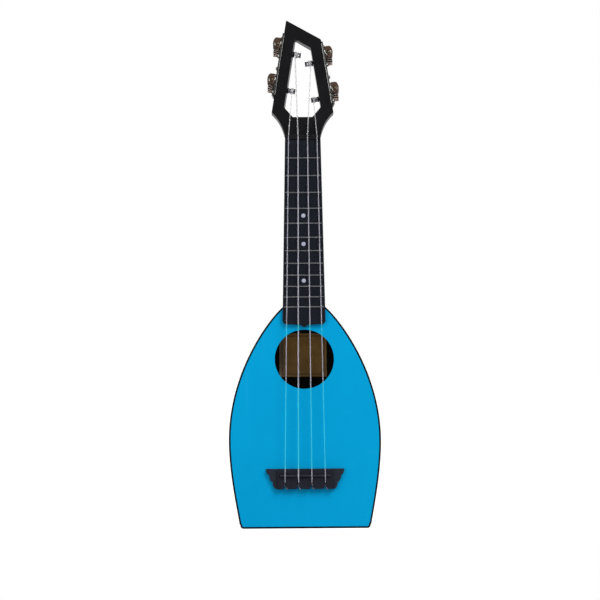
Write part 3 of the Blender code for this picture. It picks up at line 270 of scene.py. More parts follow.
CAP_ROUND = 0.0002
RING_EDGE = 0.0001
POST_EDGE = 0.00025
ROLLER_LENGTH = 0.0080
ROLLER_HOLE = (0.0007, 0.0026)  # radius, and its place from the tip
POST_GAP = 0.0004
COLLAR_RADIUS = 0.0038
COLLAR_TAPER = (0.96, 0.75)
STRING_REACH = (0.0051, 0.0023, 0.0022, 0.0060)
WINDINGS = ((0.0037, 0.0063), (0.0023, 0.0052), (0.0022, 0.0050), (0.0042, 0.0064))
WINDING_PITCH = 1.02  # in string diameters
WINDING_STEPS = 14  # for each string radius along the roller

# Screws: outlines of (radius, height over the seat)
GEAR_SCREW = ((0, 0.0006), (0.0012, 0.0006), (0.0020, 0.0004), (0.0022, 0.0), (0, 0.0))
GEAR_SCREW_EDGE = 0.0002
GEAR_SCREW_SLOT = ((-0.003, -0.00022, 0.0003), (0.003, 0.00022, 0.002))
PLATE_SCREWS = (-0.0069, 0.0215, 0.0539)
PLATE_SCREW_BORE = 0.0012
PLATE_SCREW_DEPTH = 0.007
PLATE_SCREW = (
    (0, 0.0016), (0.0009, 0.00152), (0.00165, 0.0011), (0.0021, 0.0003), (0.0021, 0.0),
    (0.0009, 0.0), (0.0009, -0.0056), (0, -0.0070),
)
PLATE_SCREW_EDGE = 0.00025
CROSS_LENGTH = 0.0011
CROSS_WIDTH = 0.00022
CROSS_HEIGHTS = (0.0009, 0.002)

# Studio
LENS = 350.0
SENSOR = 36.0
CAMERA_PLACE = Vector((-0.00403, -6.03, 0.235))
CAMERA_ROLL = math.radians(0.42)
CAMERA_SEES = (0.1, 60.0)
MIDDLE = Vector((0.0, 0.0, 0.25))
WHITE = (1.0, 1.0, 1.0)
AMBIENT = 0.60
ROOM_BEHIND_CAMERA = 0.10  # what metal reflects there; behind the instrument it reflects white
FLOOR_SIZE = 6.0
FLOOR_MIDDLE = 5.5  # it begins just in front of the instrument
FLOOR_COLOUR = (0.42, 0.42, 0.42)
FLOOR_GLOW = 0.85
KEY_LAMP = {"place": (1.1, -1.7, 1.9), "size": 1.3, "watts": 44.0}
FILL_LAMP = {"place": (-1.8, -1.9, 0.9), "size": 1.6, "watts": 13.0}


# Node graphs

class Graph:
    """Adds nodes to one tree and joins them."""

    def __init__(self, tree):
        self.tree = tree

    def add(self, kind, inputs=None, **settings):
        """Adds a shader node, or the Input or Output of a group."""
        family = "NodeGroup" if kind in ("Input", "Output") else "ShaderNode"
        node = self.tree.nodes.new(family + kind)
        for key, value in settings.items():
            setattr(node, key, value)
        for key, value in (inputs or {}).items():
            self.feed(node, key, value)
        return node

    def feed(self, node, key, value):
        socket = node.inputs[key]
        if isinstance(value, bpy.types.NodeSocket):
            self.tree.links.new(value, socket)
        else:
            socket.default_value = value

    def here(self):
        return self.add("TexCoord").outputs["Object"]

    def split(self, vector):
        return self.add("SeparateXYZ", {0: vector}).outputs

    def math(self, operation, first, second=0.0):
        return self.add("Math", {0: first, 1: second}, operation=operation).outputs[0]

    def scaled(self, first, second):
        return self.math("MULTIPLY", first, second)

    def spread(self, value, low, high, to_low=0.0, to_high=1.0):
        """Stretches the range from low to high over the range of the result, and clamps it."""
        return self.add("MapRange", {0: value, 1: low, 2: high, 3: to_low, 4: to_high}).outputs[0]

    def blend(self, share, first, second):
        """Goes from the first colour to the second by share."""
        return self.add("Mix", {0: share, 6: first, 7: second}, data_type="RGBA").outputs[2]

    def noise(self, place, scale, detail=3.0, roughness=0.55, stretch=None):
        if stretch:
            place = self.add("Mapping", {"Vector": place, "Scale": stretch}).outputs[0]
        settings = {"Vector": place, "Scale": scale, "Detail": detail, "Roughness": roughness}
        return self.add("TexNoise", settings).outputs[0]

    def give(self, results):
        """Sends a group's results out."""
        self.add("Output", results)


def new_group(name, inputs, outputs):
    """A shader node group with named number or vector inputs, and masks from 0 to 1 as outputs."""
    tree = bpy.data.node_groups.new(name, "ShaderNodeTree")
    for label, value in inputs.items():
        kind = "NodeSocketVector" if isinstance(value, tuple) else "NodeSocketFloat"
        tree.interface.new_socket(name=label, in_out="INPUT", socket_type=kind).default_value = value
    for label in outputs:
        tree.interface.new_socket(name=label, in_out="OUTPUT", socket_type="NodeSocketFloat")
    graph = Graph(tree)
    return graph, graph.add("Input").outputs


def rgb(colour, factor=1.0):
    """A colour for a socket, made darker or lighter by a factor."""
    return (*(min(1.0, c * factor) for c in colour), 1.0)


def along(axis, squeeze):
    """The squeeze that draws a pattern out along one axis."""
    return tuple(squeeze if letter == axis else 1.0 for letter in "XYZ")


def wear_group():
    """Handling marks: broad patches, fine grain and thin scratches."""
    g, given = new_group(
        "handling marks",
        {"Patch size": 40.0, "Grain size": 2500.0, "Scratch size": 300.0},
        ("Patches", "Grain", "Scratches"),
    )
    here = g.here()
    patches = g.noise(here, given["Patch size"], 4.0, 0.6)
    grain = g.noise(here, given["Grain size"], 2.0, 0.5)
    lines = []
    for turn, stretch in ((0.5, along("Z", 0.03)), (-0.9, along("X", 0.04))):
        mapping = {"Vector": here, "Rotation": (0.3, turn, turn), "Scale": stretch}
        place = g.add("Mapping", mapping).outputs[0]
        lines.append(g.spread(g.noise(place, given["Scratch size"], 1.0, 0.4), 0.70, 0.78))
    marks = g.scaled(g.math("MAXIMUM", *lines), g.spread(patches, 0.45, 0.7))
    g.give({"Patches": g.spread(patches, 0.3, 0.7), "Grain": grain, "Scratches": marks})
    return g.tree


def edge_group():
    """Where edges rub bright, and where dust settles on faces that look up."""
    g, given = new_group(
        "edges and dust", {"Edge start": 0.53, "Edge end": 0.62, "Dust": 0.3}, ("Edges", "Dust"),
    )
    here = g.here()
    shape = g.add("NewGeometry").outputs
    broken = g.math("SUBTRACT", g.noise(here, 260.0, 3.0, 0.6), 0.5)
    point = g.math("ADD", shape["Pointiness"], g.scaled(broken, 0.06))
    up = g.spread(g.split(shape["Normal"])["Z"], 0.55, 0.98)
    settled = g.scaled(up, g.spread(g.noise(here, 90.0, 4.0, 0.65), 0.35, 0.75))
    g.give({
        "Edges": g.spread(point, given["Edge start"], given["Edge end"]),
        "Dust": g.scaled(settled, given["Dust"]),
    })
    return g.tree


def wood_group():
    """Long fibres with year lines and pores; Squeeze is small along the fibres."""
    g, given = new_group(
        "wood",
        {"Squeeze": along("Z", 0.06), "Year lines": 900.0, "Fibre size": 1500.0},
        ("Year lines", "Fibres", "Pores"),
    )
    squeezed = {0: g.here(), 1: given["Squeeze"]}
    place = g.add("VectorMath", squeezed, operation="MULTIPLY").outputs[0]
    waver = g.scaled(g.noise(place, 60.0, 2.0, 0.5), 0.012)
    shift = g.add("CombineXYZ", {0: waver, 1: waver}).outputs[0]
    spot = g.add("VectorMath", {0: place, 1: shift}, operation="ADD").outputs[0]
    rings = g.add(
        "TexWave", {"Vector": spot, "Scale": given["Year lines"], "Distortion": 1.5, "Detail": 2.0},
        wave_type="BANDS", bands_direction="DIAGONAL",
    ).outputs["Fac"]
    pores = g.noise(place, g.scaled(given["Fibre size"], 2.3), 2.0, 0.5)
    g.give({
        "Year lines": rings,
        "Fibres": g.noise(place, given["Fibre size"], 4.0, 0.65),
        "Pores": g.spread(pores, 0.62, 0.74),
    })
    return g.tree


def brush_group():
    """Brushed metal: fine parallel lines along one direction, cloudy tarnish and small spots."""
    g, given = new_group(
        "brushed metal",
        {"Squeeze": along("Z", 0.02), "Line size": 4000.0, "Cloud size": 130.0},
        ("Lines", "Tarnish", "Spots"),
    )
    here = g.here()
    place = g.add("VectorMath", {0: here, 1: given["Squeeze"]}, operation="MULTIPLY").outputs[0]
    spots = g.noise(here, g.scaled(given["Cloud size"], 9.0), 2.0, 0.5)
    g.give({
        "Lines": g.noise(place, given["Line size"], 2.0, 0.5),
        "Tarnish": g.spread(g.noise(here, given["Cloud size"], 5.0, 0.65), 0.42, 0.72),
        "Spots": g.spread(spots, 0.66, 0.74),
    })
    return g.tree


MARKS = wear_group()
EDGES = edge_group()
WOOD = wood_group()
BRUSH = brush_group()


# Materials

class Finish(Graph):
    """A material: one Principled shader, and the shared groups that feed it."""

    def __init__(self, name, roughness, metallic=0.0, **constants):
        self.material = bpy.data.materials.new(name)
        self.material.use_nodes = True
        super().__init__(self.material.node_tree)
        self.shader = self.tree.nodes["Principled BSDF"]
        constants.update(Roughness=roughness, Metallic=metallic)
        for key, value in constants.items():
            self.shader.inputs[key.replace("_", " ")].default_value = value

    def group(self, group, **values):
        node = self.add("Group")
        node.node_tree = group
        for key, value in values.items():
            node.inputs[key.replace("_", " ")].default_value = value
        return node.outputs

    def colour(self, value):
        self.feed(self.shader, "Base Color", value)

    def roughness(self, value):
        self.feed(self.shader, "Roughness", value)

    def bump(self, *layers):
        """Layers are (height, strength, depth in metres), from broad to fine."""
        normal = None
        for height, strength, depth in layers:
            node = self.add("Bump", {"Height": height, "Strength": strength, "Distance": depth})
            if normal is not None:
                self.feed(node, "Normal", normal)
            normal = node.outputs[0]
        self.feed(self.shader, "Normal", normal)


def moulded_black(name, grain_size, roughness, colour=(0.0052, 0.0052, 0.0062)):
    """Black moulded plastic with a fine sparkle, rubbed edges and a little dust."""
    worn, dust = (0.03, 0.03, 0.032), (0.05, 0.05, 0.052)
    f = Finish(name, roughness, Specular_IOR_Level=0.10)
    marks = f.group(MARKS, Patch_size=28.0, Grain_size=grain_size, Scratch_size=260.0)
    edges = f.group(EDGES, Edge_start=0.54, Edge_end=0.68, Dust=0.20)
    base = f.blend(marks["Patches"], rgb(colour, 0.82), rgb(colour, 1.18))
    base = f.blend(f.scaled(marks["Scratches"], 0.25), base, rgb(worn))
    base = f.blend(f.scaled(edges["Edges"], 0.35), base, rgb(worn))
    f.colour(f.blend(edges["Dust"], base, rgb(dust)))
    rough = f.spread(marks["Patches"], 0.0, 1.0, roughness - 0.05, roughness + 0.06)
    f.roughness(f.math("SUBTRACT", rough, f.scaled(marks["Scratches"], 0.12)))
    f.bump((marks["Grain"], 0.22, 0.00008), (marks["Scratches"], 0.10, 0.00003))
    return f.material


def painted_top():
    """Blue satin paint that shows a trace of the wood's fibres under it."""
    deep, bright = (0.0, 0.325, 0.630), (0.0, 0.345, 0.665)
    over_fibres, scratched = (0.0, 0.29, 0.58), (0.04, 0.42, 0.72)
    f = Finish("blue top paint", 0.42, Specular_IOR_Level=0.04)
    marks = f.group(MARKS, Patch_size=11.0, Grain_size=1800.0, Scratch_size=190.0)
    wood = f.group(WOOD, Squeeze=along("Z", 0.05), Year_lines=420.0, Fibre_size=900.0)
    base = f.blend(marks["Patches"], rgb(deep), rgb(bright))
    base = f.blend(f.scaled(wood["Fibres"], 0.10), base, rgb(over_fibres))
    f.colour(f.blend(f.scaled(marks["Scratches"], 0.10), base, rgb(scratched)))
    f.roughness(f.spread(marks["Patches"], 0.0, 1.0, 0.38, 0.46))
    f.bump((wood["Fibres"], 0.10, 0.00012), (marks["Grain"], 0.08, 0.00005))
    return f.material


def dark_wood(name, dark, light, squeeze, roughness, wings=None):
    """Close-grained dark wood with fine pores; wings is a painted highlight, the paler tint beside the
    bridge's block that stands for the light its sloping wings catch.
    """
    dust = (0.06, 0.06, 0.065)
    f = Finish(name, roughness, Specular_IOR_Level=0.12)
    wood = f.group(WOOD, Squeeze=squeeze, Year_lines=700.0, Fibre_size=1400.0)
    marks = f.group(MARKS, Patch_size=45.0, Grain_size=2600.0, Scratch_size=300.0)
    edges = f.group(EDGES, Edge_start=0.54, Edge_end=0.66, Dust=0.15)
    base = f.blend(f.spread(wood["Fibres"], 0.3, 0.7), rgb(dark), rgb(light))
    base = f.blend(f.scaled(wood["Pores"], 0.5), base, rgb(dark, 0.5))
    base = f.blend(f.scaled(edges["Edges"], 0.3), base, rgb(light, 1.8))
    # painted highlight: the wood beside the block is lightened, for the light that sloping wings catch
    if wings:
        across = f.math("ABSOLUTE", f.split(f.here())["X"])
        beside = f.spread(across, BLOCK_HALF_WIDTH, BLOCK_HALF_WIDTH + 0.0002, 0.0, 0.7)
        base = f.blend(beside, base, rgb(wings))
    f.colour(f.blend(edges["Dust"], base, rgb(dust)))
    f.roughness(f.spread(marks["Patches"], 0.0, 1.0, roughness - 0.08, roughness + 0.08))
    f.bump((wood["Fibres"], 0.15, 0.0001), (wood["Pores"], 0.2, 0.00008))
    return f.material


def pale_wood(name, dark, light, squeeze, lines):
    """Unfinished wood inside the body, sawn and sanded."""
    f = Finish(name, 0.7, Specular_IOR_Level=0.3)
    wood = f.group(WOOD, Squeeze=squeeze, Year_lines=lines, Fibre_size=1100.0)
    base = f.blend(wood["Year lines"], rgb(dark), rgb(light))
    base = f.blend(f.scaled(wood["Fibres"], 0.35), base, rgb(light, 0.7))
    f.colour(f.blend(f.scaled(wood["Pores"], 0.4), base, rgb(dark, 0.45)))
    f.roughness(f.spread(wood["Fibres"], 0.2, 0.8, 0.62, 0.8))
    f.bump((wood["Year lines"], 0.15, 0.00012), (wood["Fibres"], 0.3, 0.00012))
    return f.material


def brushed(name, colour, tarnish, roughness, squeeze, hollow=False):
    """Metal with fine lines from its finishing, tarnished in clouds and bright where it rubs.

    With hollow, the valleys between teeth are darkened as painted shade, by the piece's attribute crest.
    """
    valley, dust = (0.010, 0.008, 0.008), (0.30, 0.29, 0.28)
    f = Finish(name, roughness, 1.0)
    brush = f.group(BRUSH, Squeeze=squeeze, Line_size=4000.0, Cloud_size=130.0)
    edges = f.group(EDGES, Edge_start=0.52, Edge_end=0.64, Dust=0.12)
    base = f.blend(f.scaled(brush["Tarnish"], 0.7), rgb(colour), rgb(tarnish))
    base = f.blend(f.scaled(brush["Spots"], 0.35), base, rgb(tarnish, 0.4))
    base = f.blend(f.scaled(edges["Edges"], 0.6), base, rgb(colour, 1.35))
    if hollow:
        crest = f.add("Attribute", attribute_name="crest").outputs["Fac"]
        # painted shade: dark in the valleys between the teeth
        base = f.blend(f.spread(crest, 0.35, 0.85), rgb(valley), base)
    f.colour(f.blend(edges["Dust"], base, rgb(dust)))
    rough = f.spread(brush["Lines"], 0.3, 0.7, roughness - 0.07, roughness + 0.09)
    f.roughness(f.math("ADD", rough, f.scaled(brush["Tarnish"], 0.12)))
    f.bump((brush["Lines"], 0.12, 0.00003), (brush["Tarnish"], 0.06, 0.00004))
    return f.material


def shell_pearl():
    """Pearl inlay: soft layers that drift between grey-blue, rose and green."""
    deep, bright = (0.33, 0.35, 0.44), (0.46, 0.48, 0.60)
    rose, green = (0.50, 0.42, 0.52), (0.34, 0.47, 0.50)
    f = Finish("pearl dots", 0.22, Specular_IOR_Level=0.6, Coat_Weight=0.3)
    here = f.here()
    layers = f.noise(here, 420.0, 5.0, 0.6, stretch=along("Z", 0.45))
    drift = f.noise(here, 900.0, 3.0, 0.5)
    base = f.blend(f.spread(layers, 0.35, 0.65), rgb(deep), rgb(bright))
    for edge, tint in ((0.8, rose), (0.2, green)):
        base = f.blend(f.scaled(f.spread(drift, 0.5, edge), 0.35), base, rgb(tint))
    f.colour(base)
    f.roughness(f.spread(layers, 0.3, 0.7, 0.16, 0.32))
    f.bump((layers, 0.08, 0.00005))
    return f.material


def blue_light_share(f, across, up):
    """Where the painted blue light shows: 1 where a string runs over the blue top, and 0 over the soundhole,
    board, bridge and neck.
    """
    rise = f.math("SUBTRACT", up, SOUNDHOLE_HEIGHT)
    from_hole = f.math("POWER", f.math("ADD", f.scaled(across, across), f.scaled(rise, rise)), 0.5)
    mask = f.spread(from_hole, SOUNDHOLE_RADIUS - 0.0008, SOUNDHOLE_RADIUS + 0.0002)
    for edge, past in ((BODY_LENGTH - OVERHANG, -0.001), (BRIDGE_HEAD, 0.001)):
        mask = f.scaled(mask, f.spread(up, edge, edge + past))
    return mask


def clear_nylon():
    """Clear nylon with the faint ripple of drawn line; over the blue top it is tinted cyan, painted light
    that stands for the top's blue seen through and reflected in it.
    """
    cloudy, clear, rippled = (0.86, 0.84, 0.96), (0.93, 0.91, 1.0), (0.76, 0.74, 0.86)
    past_nut, painted_blue_light = (0.77, 0.77, 0.79), (0.10, 0.95, 1.0)
    f = Finish("clear nylon", 0.12, Transmission_Weight=0.72, IOR=1.53)
    here = f.here()
    ripple = f.noise(here, 1400.0, 2.0, 0.5, stretch=along("Z", 0.05))
    cloud = f.noise(here, 60.0, 3.0, 0.5)
    across, _, up = f.split(here)
    base = f.blend(f.spread(cloud, 0.3, 0.7), rgb(cloudy), rgb(clear))
    base = f.blend(f.scaled(ripple, 0.2), base, rgb(rippled))
    base = f.blend(f.spread(up, NUT_HEIGHT + 0.002, NUT_HEIGHT + 0.004), base, rgb(past_nut))
    # painted light: the top's blue, seen through the clear nylon, is painted into the string's colour over
    # the top
    f.colour(f.blend(blue_light_share(f, across, up), base, rgb(painted_blue_light)))
    f.roughness(f.spread(ripple, 0.3, 0.7, 0.09, 0.16))
    f.bump((ripple, 0.05, 0.00004))
    return f.material


def kraft_label():
    """Brown paper with fibres and flecks, a greyer strip down its left, a ruled border, and painted shade
    towards its bottom.
    """
    deep, bright, shaded_bottom = (0.50, 0.270, 0.075), (0.64, 0.365, 0.115), (0.250, 0.140, 0.055)
    left_strip, fibre, fleck = (0.36, 0.27, 0.19), (0.24, 0.135, 0.060), (0.040, 0.022, 0.012)
    border = (  # distance from the edge, half width, ink
        (0.0030, 0.00028, (0.030, 0.018, 0.011)),
        (0.0022, 0.00040, (0.27, 0.17, 0.08)),
    )
    f = Finish("kraft label", 0.78, Specular_IOR_Level=0.25)
    here = f.here()
    centre = (-LABEL_MIDDLE[0], 0.0, -LABEL_MIDDLE[1])
    across, _, up = f.split(f.add("Mapping", {"Vector": here, "Location": centre}).outputs[0])
    cloud = f.noise(here, 70.0, 3.0, 0.5)
    fibres = f.noise(here, 1500.0, 3.0, 0.6, stretch=along("Z", 0.25))
    flecks = f.spread(f.noise(here, 2300.0, 1.0, 0.4), 0.68, 0.74)
    base = f.blend(f.spread(cloud, 0.3, 0.7), rgb(deep), rgb(bright))
    # painted shade: darker towards the bottom of the paper, for the shadow of the soundhole's rim
    base = f.blend(f.spread(up, 0.005, -0.020, 0.0, 0.55), base, rgb(shaded_bottom))
    base = f.blend(f.spread(across, -0.0193, -0.0199), base, rgb(left_strip))
    base = f.blend(f.scaled(f.spread(fibres, 0.35, 0.65), 0.25), base, rgb(fibre))
    in_x = f.math("SUBTRACT", LABEL_SIZE[0] / 2, f.math("ABSOLUTE", across))
    in_z = f.math("SUBTRACT", LABEL_SIZE[1] / 2, f.math("ABSOLUTE", up))
    edge = f.math("MINIMUM", in_x, in_z)
    for distance, width, ink in border:
        gap = f.math("ABSOLUTE", f.math("SUBTRACT", edge, distance))
        base = f.blend(f.spread(gap, width, width * 0.6, 0.0, 0.85), base, rgb(ink))
    f.colour(f.blend(f.scaled(flecks, 0.4), base, rgb(fleck)))
    f.roughness(f.spread(fibres, 0.3, 0.7, 0.70, 0.85))
    f.bump((cloud, 0.2, 0.0006), (fibres, 0.3, 0.00008))
    return f.material


EVEN = along("", 1.0)
MATERIALS = {
    "shell": moulded_black("shell black", 2600.0, 0.38),
    "neck": moulded_black("neck black", 3200.0, 0.34),
    "nut": moulded_black("nut black", 3600.0, 0.34, colour=(0.005, 0.005, 0.006)),
    "top": painted_top(),
    "board": dark_wood(
        "fretboard blue black", (0.0055, 0.0070, 0.0125), (0.0100, 0.0125, 0.0190), along("Z", 0.05), 0.46,
    ),
    "bridge": dark_wood(
        "bridge dark", (0.0085, 0.0095, 0.0165), (0.0150, 0.0160, 0.0255), along("X", 0.05), 0.48,
        # wings: a painted highlight beside the block
        wings=(0.021, 0.025, 0.036),
    ),
    "saddle": dark_wood(
        "saddle dark", (0.0170, 0.0180, 0.0270), (0.0290, 0.0300, 0.0420), along("X", 0.1), 0.40,
    ),
    "spruce": pale_wood("spruce inside", (0.52, 0.35, 0.18), (0.70, 0.52, 0.31), along("X", 0.06), 300.0),
    "walnut": pale_wood("neck block wood", (0.22, 0.13, 0.07), (0.34, 0.21, 0.12), along("Z", 0.06), 200.0),
    "pearl": shell_pearl(),
    "nylon": clear_nylon(),
    "label": kraft_label(),
}
METALS = {  # name, colour, tarnish, roughness, squeeze along the brushed lines
    "nickel": ("bright nickel", (0.56, 0.55, 0.54), (0.38, 0.36, 0.34), 0.30, along("Z", 0.02)),
    # painted shade: the plate's nickel is darkened, as the plate lies in shadow beside the rail
    "plate": ("dull nickel plate", (0.085, 0.088, 0.080), (0.050, 0.052, 0.047), 0.32, along("Z", 0.02)),
    "screw": ("screw steel", (0.24, 0.24, 0.235), (0.13, 0.13, 0.125), 0.30, along("Z", 0.3)),
    "rivet": ("olive rivet", (0.115, 0.082, 0.050), (0.060, 0.045, 0.030), 0.32, EVEN),
    "roller": ("roller steel", (0.26, 0.26, 0.29), (0.13, 0.13, 0.15), 0.28, along("Z", 0.3)),
    "dark": ("blackened steel", (0.030, 0.030, 0.032), (0.016, 0.016, 0.017), 0.36, along("Z", 0.3)),
    "fret": ("fret metal", (0.20, 0.20, 0.21), (0.12, 0.12, 0.13), 0.34, along("X", 0.02)),
    "bronze": ("dark bronze", (0.100, 0.062, 0.046), (0.042, 0.029, 0.024), 0.36, along("Z", 0.3)),
    "brass": ("olive brass", (0.42, 0.34, 0.24), (0.22, 0.18, 0.13), 0.34, EVEN),
    # the crests' pale bronze, far lighter than the other bronze, is partly a painted highlight; the valleys
    # get painted shade
    "tooth": ("toothed bronze", (0.46, 0.37, 0.33), (0.26, 0.20, 0.18), 0.32, along("X", 0.3), True),
    "steel": ("bolt steel", (0.34, 0.34, 0.35), (0.18, 0.18, 0.18), 0.34, along("Z", 0.1)),
}
MATERIALS.update({finish: brushed(*metal) for finish, metal in METALS.items()})


# Shapes

def flat_face(bm, corners):
    face = bm.faces.new([bm.verts.new(corner) for corner in corners])
    face.normal_update()
    return face


def push(bm, faces, offset):
    """Extrudes faces into a closed shape."""
    made = bmesh.ops.extrude_face_region(bm, geom=faces)["geom"]
    far = [v for v in made if isinstance(v, bmesh.types.BMVert)]
    bmesh.ops.translate(bm, verts=far, vec=offset)


def inset(bm, face, distance, keep_ring=True):
    ring = bmesh.ops.inset_individual(bm, faces=[face], thickness=distance, use_even_offset=True)["faces"]
    if not keep_ring:
        bmesh.ops.delete(bm, geom=ring, context="FACES")


def sink(bm, face, offset):
    """Moves a face with walls behind it, and gives back the moved face."""
    face = bmesh.ops.extrude_discrete_faces(bm, faces=[face])["faces"][0]
    bmesh.ops.translate(bm, verts=face.verts, vec=offset)
    return face


def prism(corners, offset, trim=0.0):
    """A flat ring of corners, drawn in by trim and pushed along the offset into a closed shape."""
    bm = bmesh.new()
    face = flat_face(bm, corners)
    if trim:
        inset(bm, face, trim, keep_ring=False)
    push(bm, [face], offset)
    bmesh.ops.recalc_face_normals(bm, faces=bm.faces)
    return bm


def slab(points, front, back, trim=0.0):
    """An outline in X and Z thickened from front to back."""
    return prism([(x, front, z) for x, z in points], (0, back - front, 0), trim)


def plate_shape(points, low, high):
    """An outline in X and Y thickened along Z, for the tilted headstock and its tuners."""
    return prism([(x, y, low) for x, y in points], (0, 0, high - low))


def block(low, high):
    low, high = Vector(low), Vector(high)
    bm = bmesh.new()
    place = Matrix.Translation((low + high) / 2) @ Matrix.Diagonal((*(high - low), 1.0))
    bmesh.ops.create_cube(bm, size=1.0, matrix=place)
    return bm


def rod(start, end, radius, sides=48):
    start, end = Vector(start), Vector(end)
    bm = bmesh.new()
    place = aim((start + end) / 2, end - start)
    bmesh.ops.create_cone(
        bm, cap_ends=True, segments=sides, radius1=radius, radius2=radius,
        depth=(end - start).length, matrix=place,
    )
    return bm


def turned(profile, steps=48, ease=0.0, bends=3):
    """A turned shape about Z, from (radius, height) pairs that start and end on the axis."""
    if ease:
        profile = eased(profile, ease, bends)
    bm = bmesh.new()
    verts = [bm.verts.new((point[0], 0, point[1])) for point in profile]
    edges = [bm.edges.new(pair) for pair in zip(verts, verts[1:])]
    bmesh.ops.spin(
        bm, geom=verts + edges, cent=(0, 0, 0), axis=(0, 0, 1), dvec=(0, 0, 0),
        angle=2 * math.pi, steps=steps, use_merge=True,
    )
    bmesh.ops.remove_doubles(bm, verts=bm.verts, dist=WELD)
    bmesh.ops.recalc_face_normals(bm, faces=bm.faces)
    return bm


def lofted(rings):
    """A closed shape through rings of points."""
    bm = bmesh.new()
    loops = []
    for ring in rings:
        verts = [bm.verts.new(point) for point in ring]
        loops.append([bm.edges.new((verts[i - 1], verts[i])) for i in range(len(verts))])
    for lower, upper in zip(loops, loops[1:]):
        bmesh.ops.bridge_loops(bm, edges=lower + upper)
    for end in (loops[0], loops[-1]):
        bmesh.ops.edgeloop_fill(bm, edges=end)
    bmesh.ops.recalc_face_normals(bm, faces=bm.faces)
    return bm


def tube(path, radius, resolution=3):
    """A round line along a path."""
    curve = bpy.data.curves.new("line", "CURVE")
    curve.dimensions = "3D"
    curve.bevel_depth = radius
    curve.bevel_resolution = resolution
    curve.use_fill_caps = True
    spline = curve.splines.new("POLY")
    spline.points.add(len(path) - 1)
    for point, place in zip(spline.points, path):
        point.co = (*place, 1)
    holder = bpy.data.objects.new("line", curve)
    bm = taken(holder)
    bpy.data.curves.remove(curve)
    bmesh.ops.remove_doubles(bm, verts=bm.verts, dist=WELD)
    return bm


def taken(holder):
    """The finished mesh of a working object, which is then removed."""
    bpy.context.scene.collection.objects.link(holder)
    graph = bpy.context.evaluated_depsgraph_get()
    mesh = bpy.data.meshes.new_from_object(holder.evaluated_get(graph))
    bm = bmesh.new()
    bm.from_mesh(mesh)
    bpy.data.meshes.remove(mesh)
    bpy.data.objects.remove(holder, do_unlink=True)
    return bm


def combined(bm, others, operation="DIFFERENCE"):
    """Cuts other shapes out of a shape, or joins them on."""
    for other in others:
        holders = []
        for part in (bm, other):
            mesh = bpy.data.meshes.new("working shape")
            part.to_mesh(mesh)
            part.free()
            holders.append(bpy.data.objects.new("working shape", mesh))
        bpy.context.scene.collection.objects.link(holders[1])
        modifier = holders[0].modifiers.new("combine", "BOOLEAN")
        modifier.operation = operation
        modifier.solver = "EXACT"
        modifier.object = holders[1]
        bm = taken(holders[0])
        bpy.data.objects.remove(holders[1], do_unlink=True)
    return bm


def merged(bm, *others):
    """Puts separate shapes into one mesh."""
    for other in others:
        mesh = bpy.data.meshes.new("working shape")
        other.to_mesh(mesh)
        other.free()
        bm.from_mesh(mesh)
        bpy.data.meshes.remove(mesh)
    return bm


def moved(bm, place):
    bmesh.ops.transform(bm, matrix=place, verts=bm.verts)
    return bm


def crisp(bm, test=lambda middle: True, angle=50):
    """Edges where two faces meet sharply, whose middle passes the test."""
    bm.normal_update()
    limit = math.radians(angle)
    edges = [e for e in bm.edges if len(e.link_faces) == 2 and e.calc_face_angle(0) > limit]
    return [e for e in edges if test((e.verts[0].co + e.verts[1].co) / 2)]


def soften(bm, edges, width, segments=3):
    bmesh.ops.bevel(
        bm, geom=edges, offset=width, offset_type="OFFSET", segments=segments,
        profile=0.5, affect="EDGES", material=-1, clamp_overlap=True,
    )
    return bm


def put_in_scene(name, data):
    thing = bpy.data.objects.new(name, data)
    bpy.context.scene.collection.objects.link(thing)
    return thing


def make_piece(name, bm, finish, body="instrument", nodes=(), place=None, sharp=38, crest=None):
    """Finishes a shape as a piece that rides on a body and stands for nodes.

    crest gives, for a point of the shape, 0 between teeth and 1 on top of them.
    """
    bmesh.ops.remove_doubles(bm, verts=bm.verts, dist=WELD)
    bmesh.ops.recalc_face_normals(bm, faces=bm.faces)
    mesh = bpy.data.meshes.new(name)
    bm.to_mesh(mesh)
    bm.free()
    if crest:
        heights = mesh.attributes.new("crest", "FLOAT", "POINT")
        for vert, value in zip(mesh.vertices, heights.data):
            value.value = crest(vert.co)
    if place is not None:
        mesh.transform(place)
    mesh.shade_smooth()
    mesh.set_sharp_from_angle(angle=math.radians(sharp))
    mesh.materials.append(MATERIALS[finish])
    piece = put_in_scene(name, mesh)
    even = piece.modifiers.new("even shading", "WEIGHTED_NORMAL")
    even.keep_sharp = True
    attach(piece, body)
    if nodes:
        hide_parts(*nodes)


def dress(node, finish):
    """Gives a carried-over node its finish."""
    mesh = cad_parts[node].data
    mesh.materials.clear()
    mesh.materials.append(MATERIALS[finish])


def aim(point, direction):
    """A place whose Z axis points along the direction."""
    turn = Vector(direction).to_track_quat("Z", "Y").to_matrix().to_4x4()
    return Matrix.Translation(point) @ turn


def bezier(start, start_handle, end_handle, end, count):
    """Points along a cubic curve, without its first."""
    points = []
    for i in range(1, count + 1):
        t = i / count
        a, b, c, d = (1 - t) ** 3, 3 * t * (1 - t) ** 2, 3 * t * t * (1 - t), t**3
        points.append(start * a + start_handle * b + end_handle * c + end * d)
    return points


def arc(centre, radius, first, last, count):
    points = []
    for i in range(count + 1):
        angle = math.radians(first + (last - first) * i / count)
        points.append(Vector((centre[0] + radius * math.cos(angle), centre[1] + radius * math.sin(angle))))
    return points


def both_halves(points):
    """A right half that runs from top to bottom, closed by its mirror image."""
    return list(points) + [Vector((-p[0], p[1])) for p in reversed(points) if abs(p[0]) > 1e-6]


def eased(points, radius, steps=3, closed=False):
    """Rounds the corners of a line of points."""
    points = [Vector(p) for p in points]
    made = [] if closed else [points[0]]
    count = len(points)
    for i in range(count) if closed else range(1, count - 1):
        corner = points[i]
        sides = (points[i - 1] - corner, points[(i + 1) % count] - corner)
        start, end = (corner + side.normalized() * min(radius, side.length * 0.49) for side in sides)
        for k in range(steps + 1):
            t = k / steps
            made.append(start * (1 - t) ** 2 + corner * 2 * t * (1 - t) + end * t * t)
    return made if closed else made + [points[-1]]


# Body

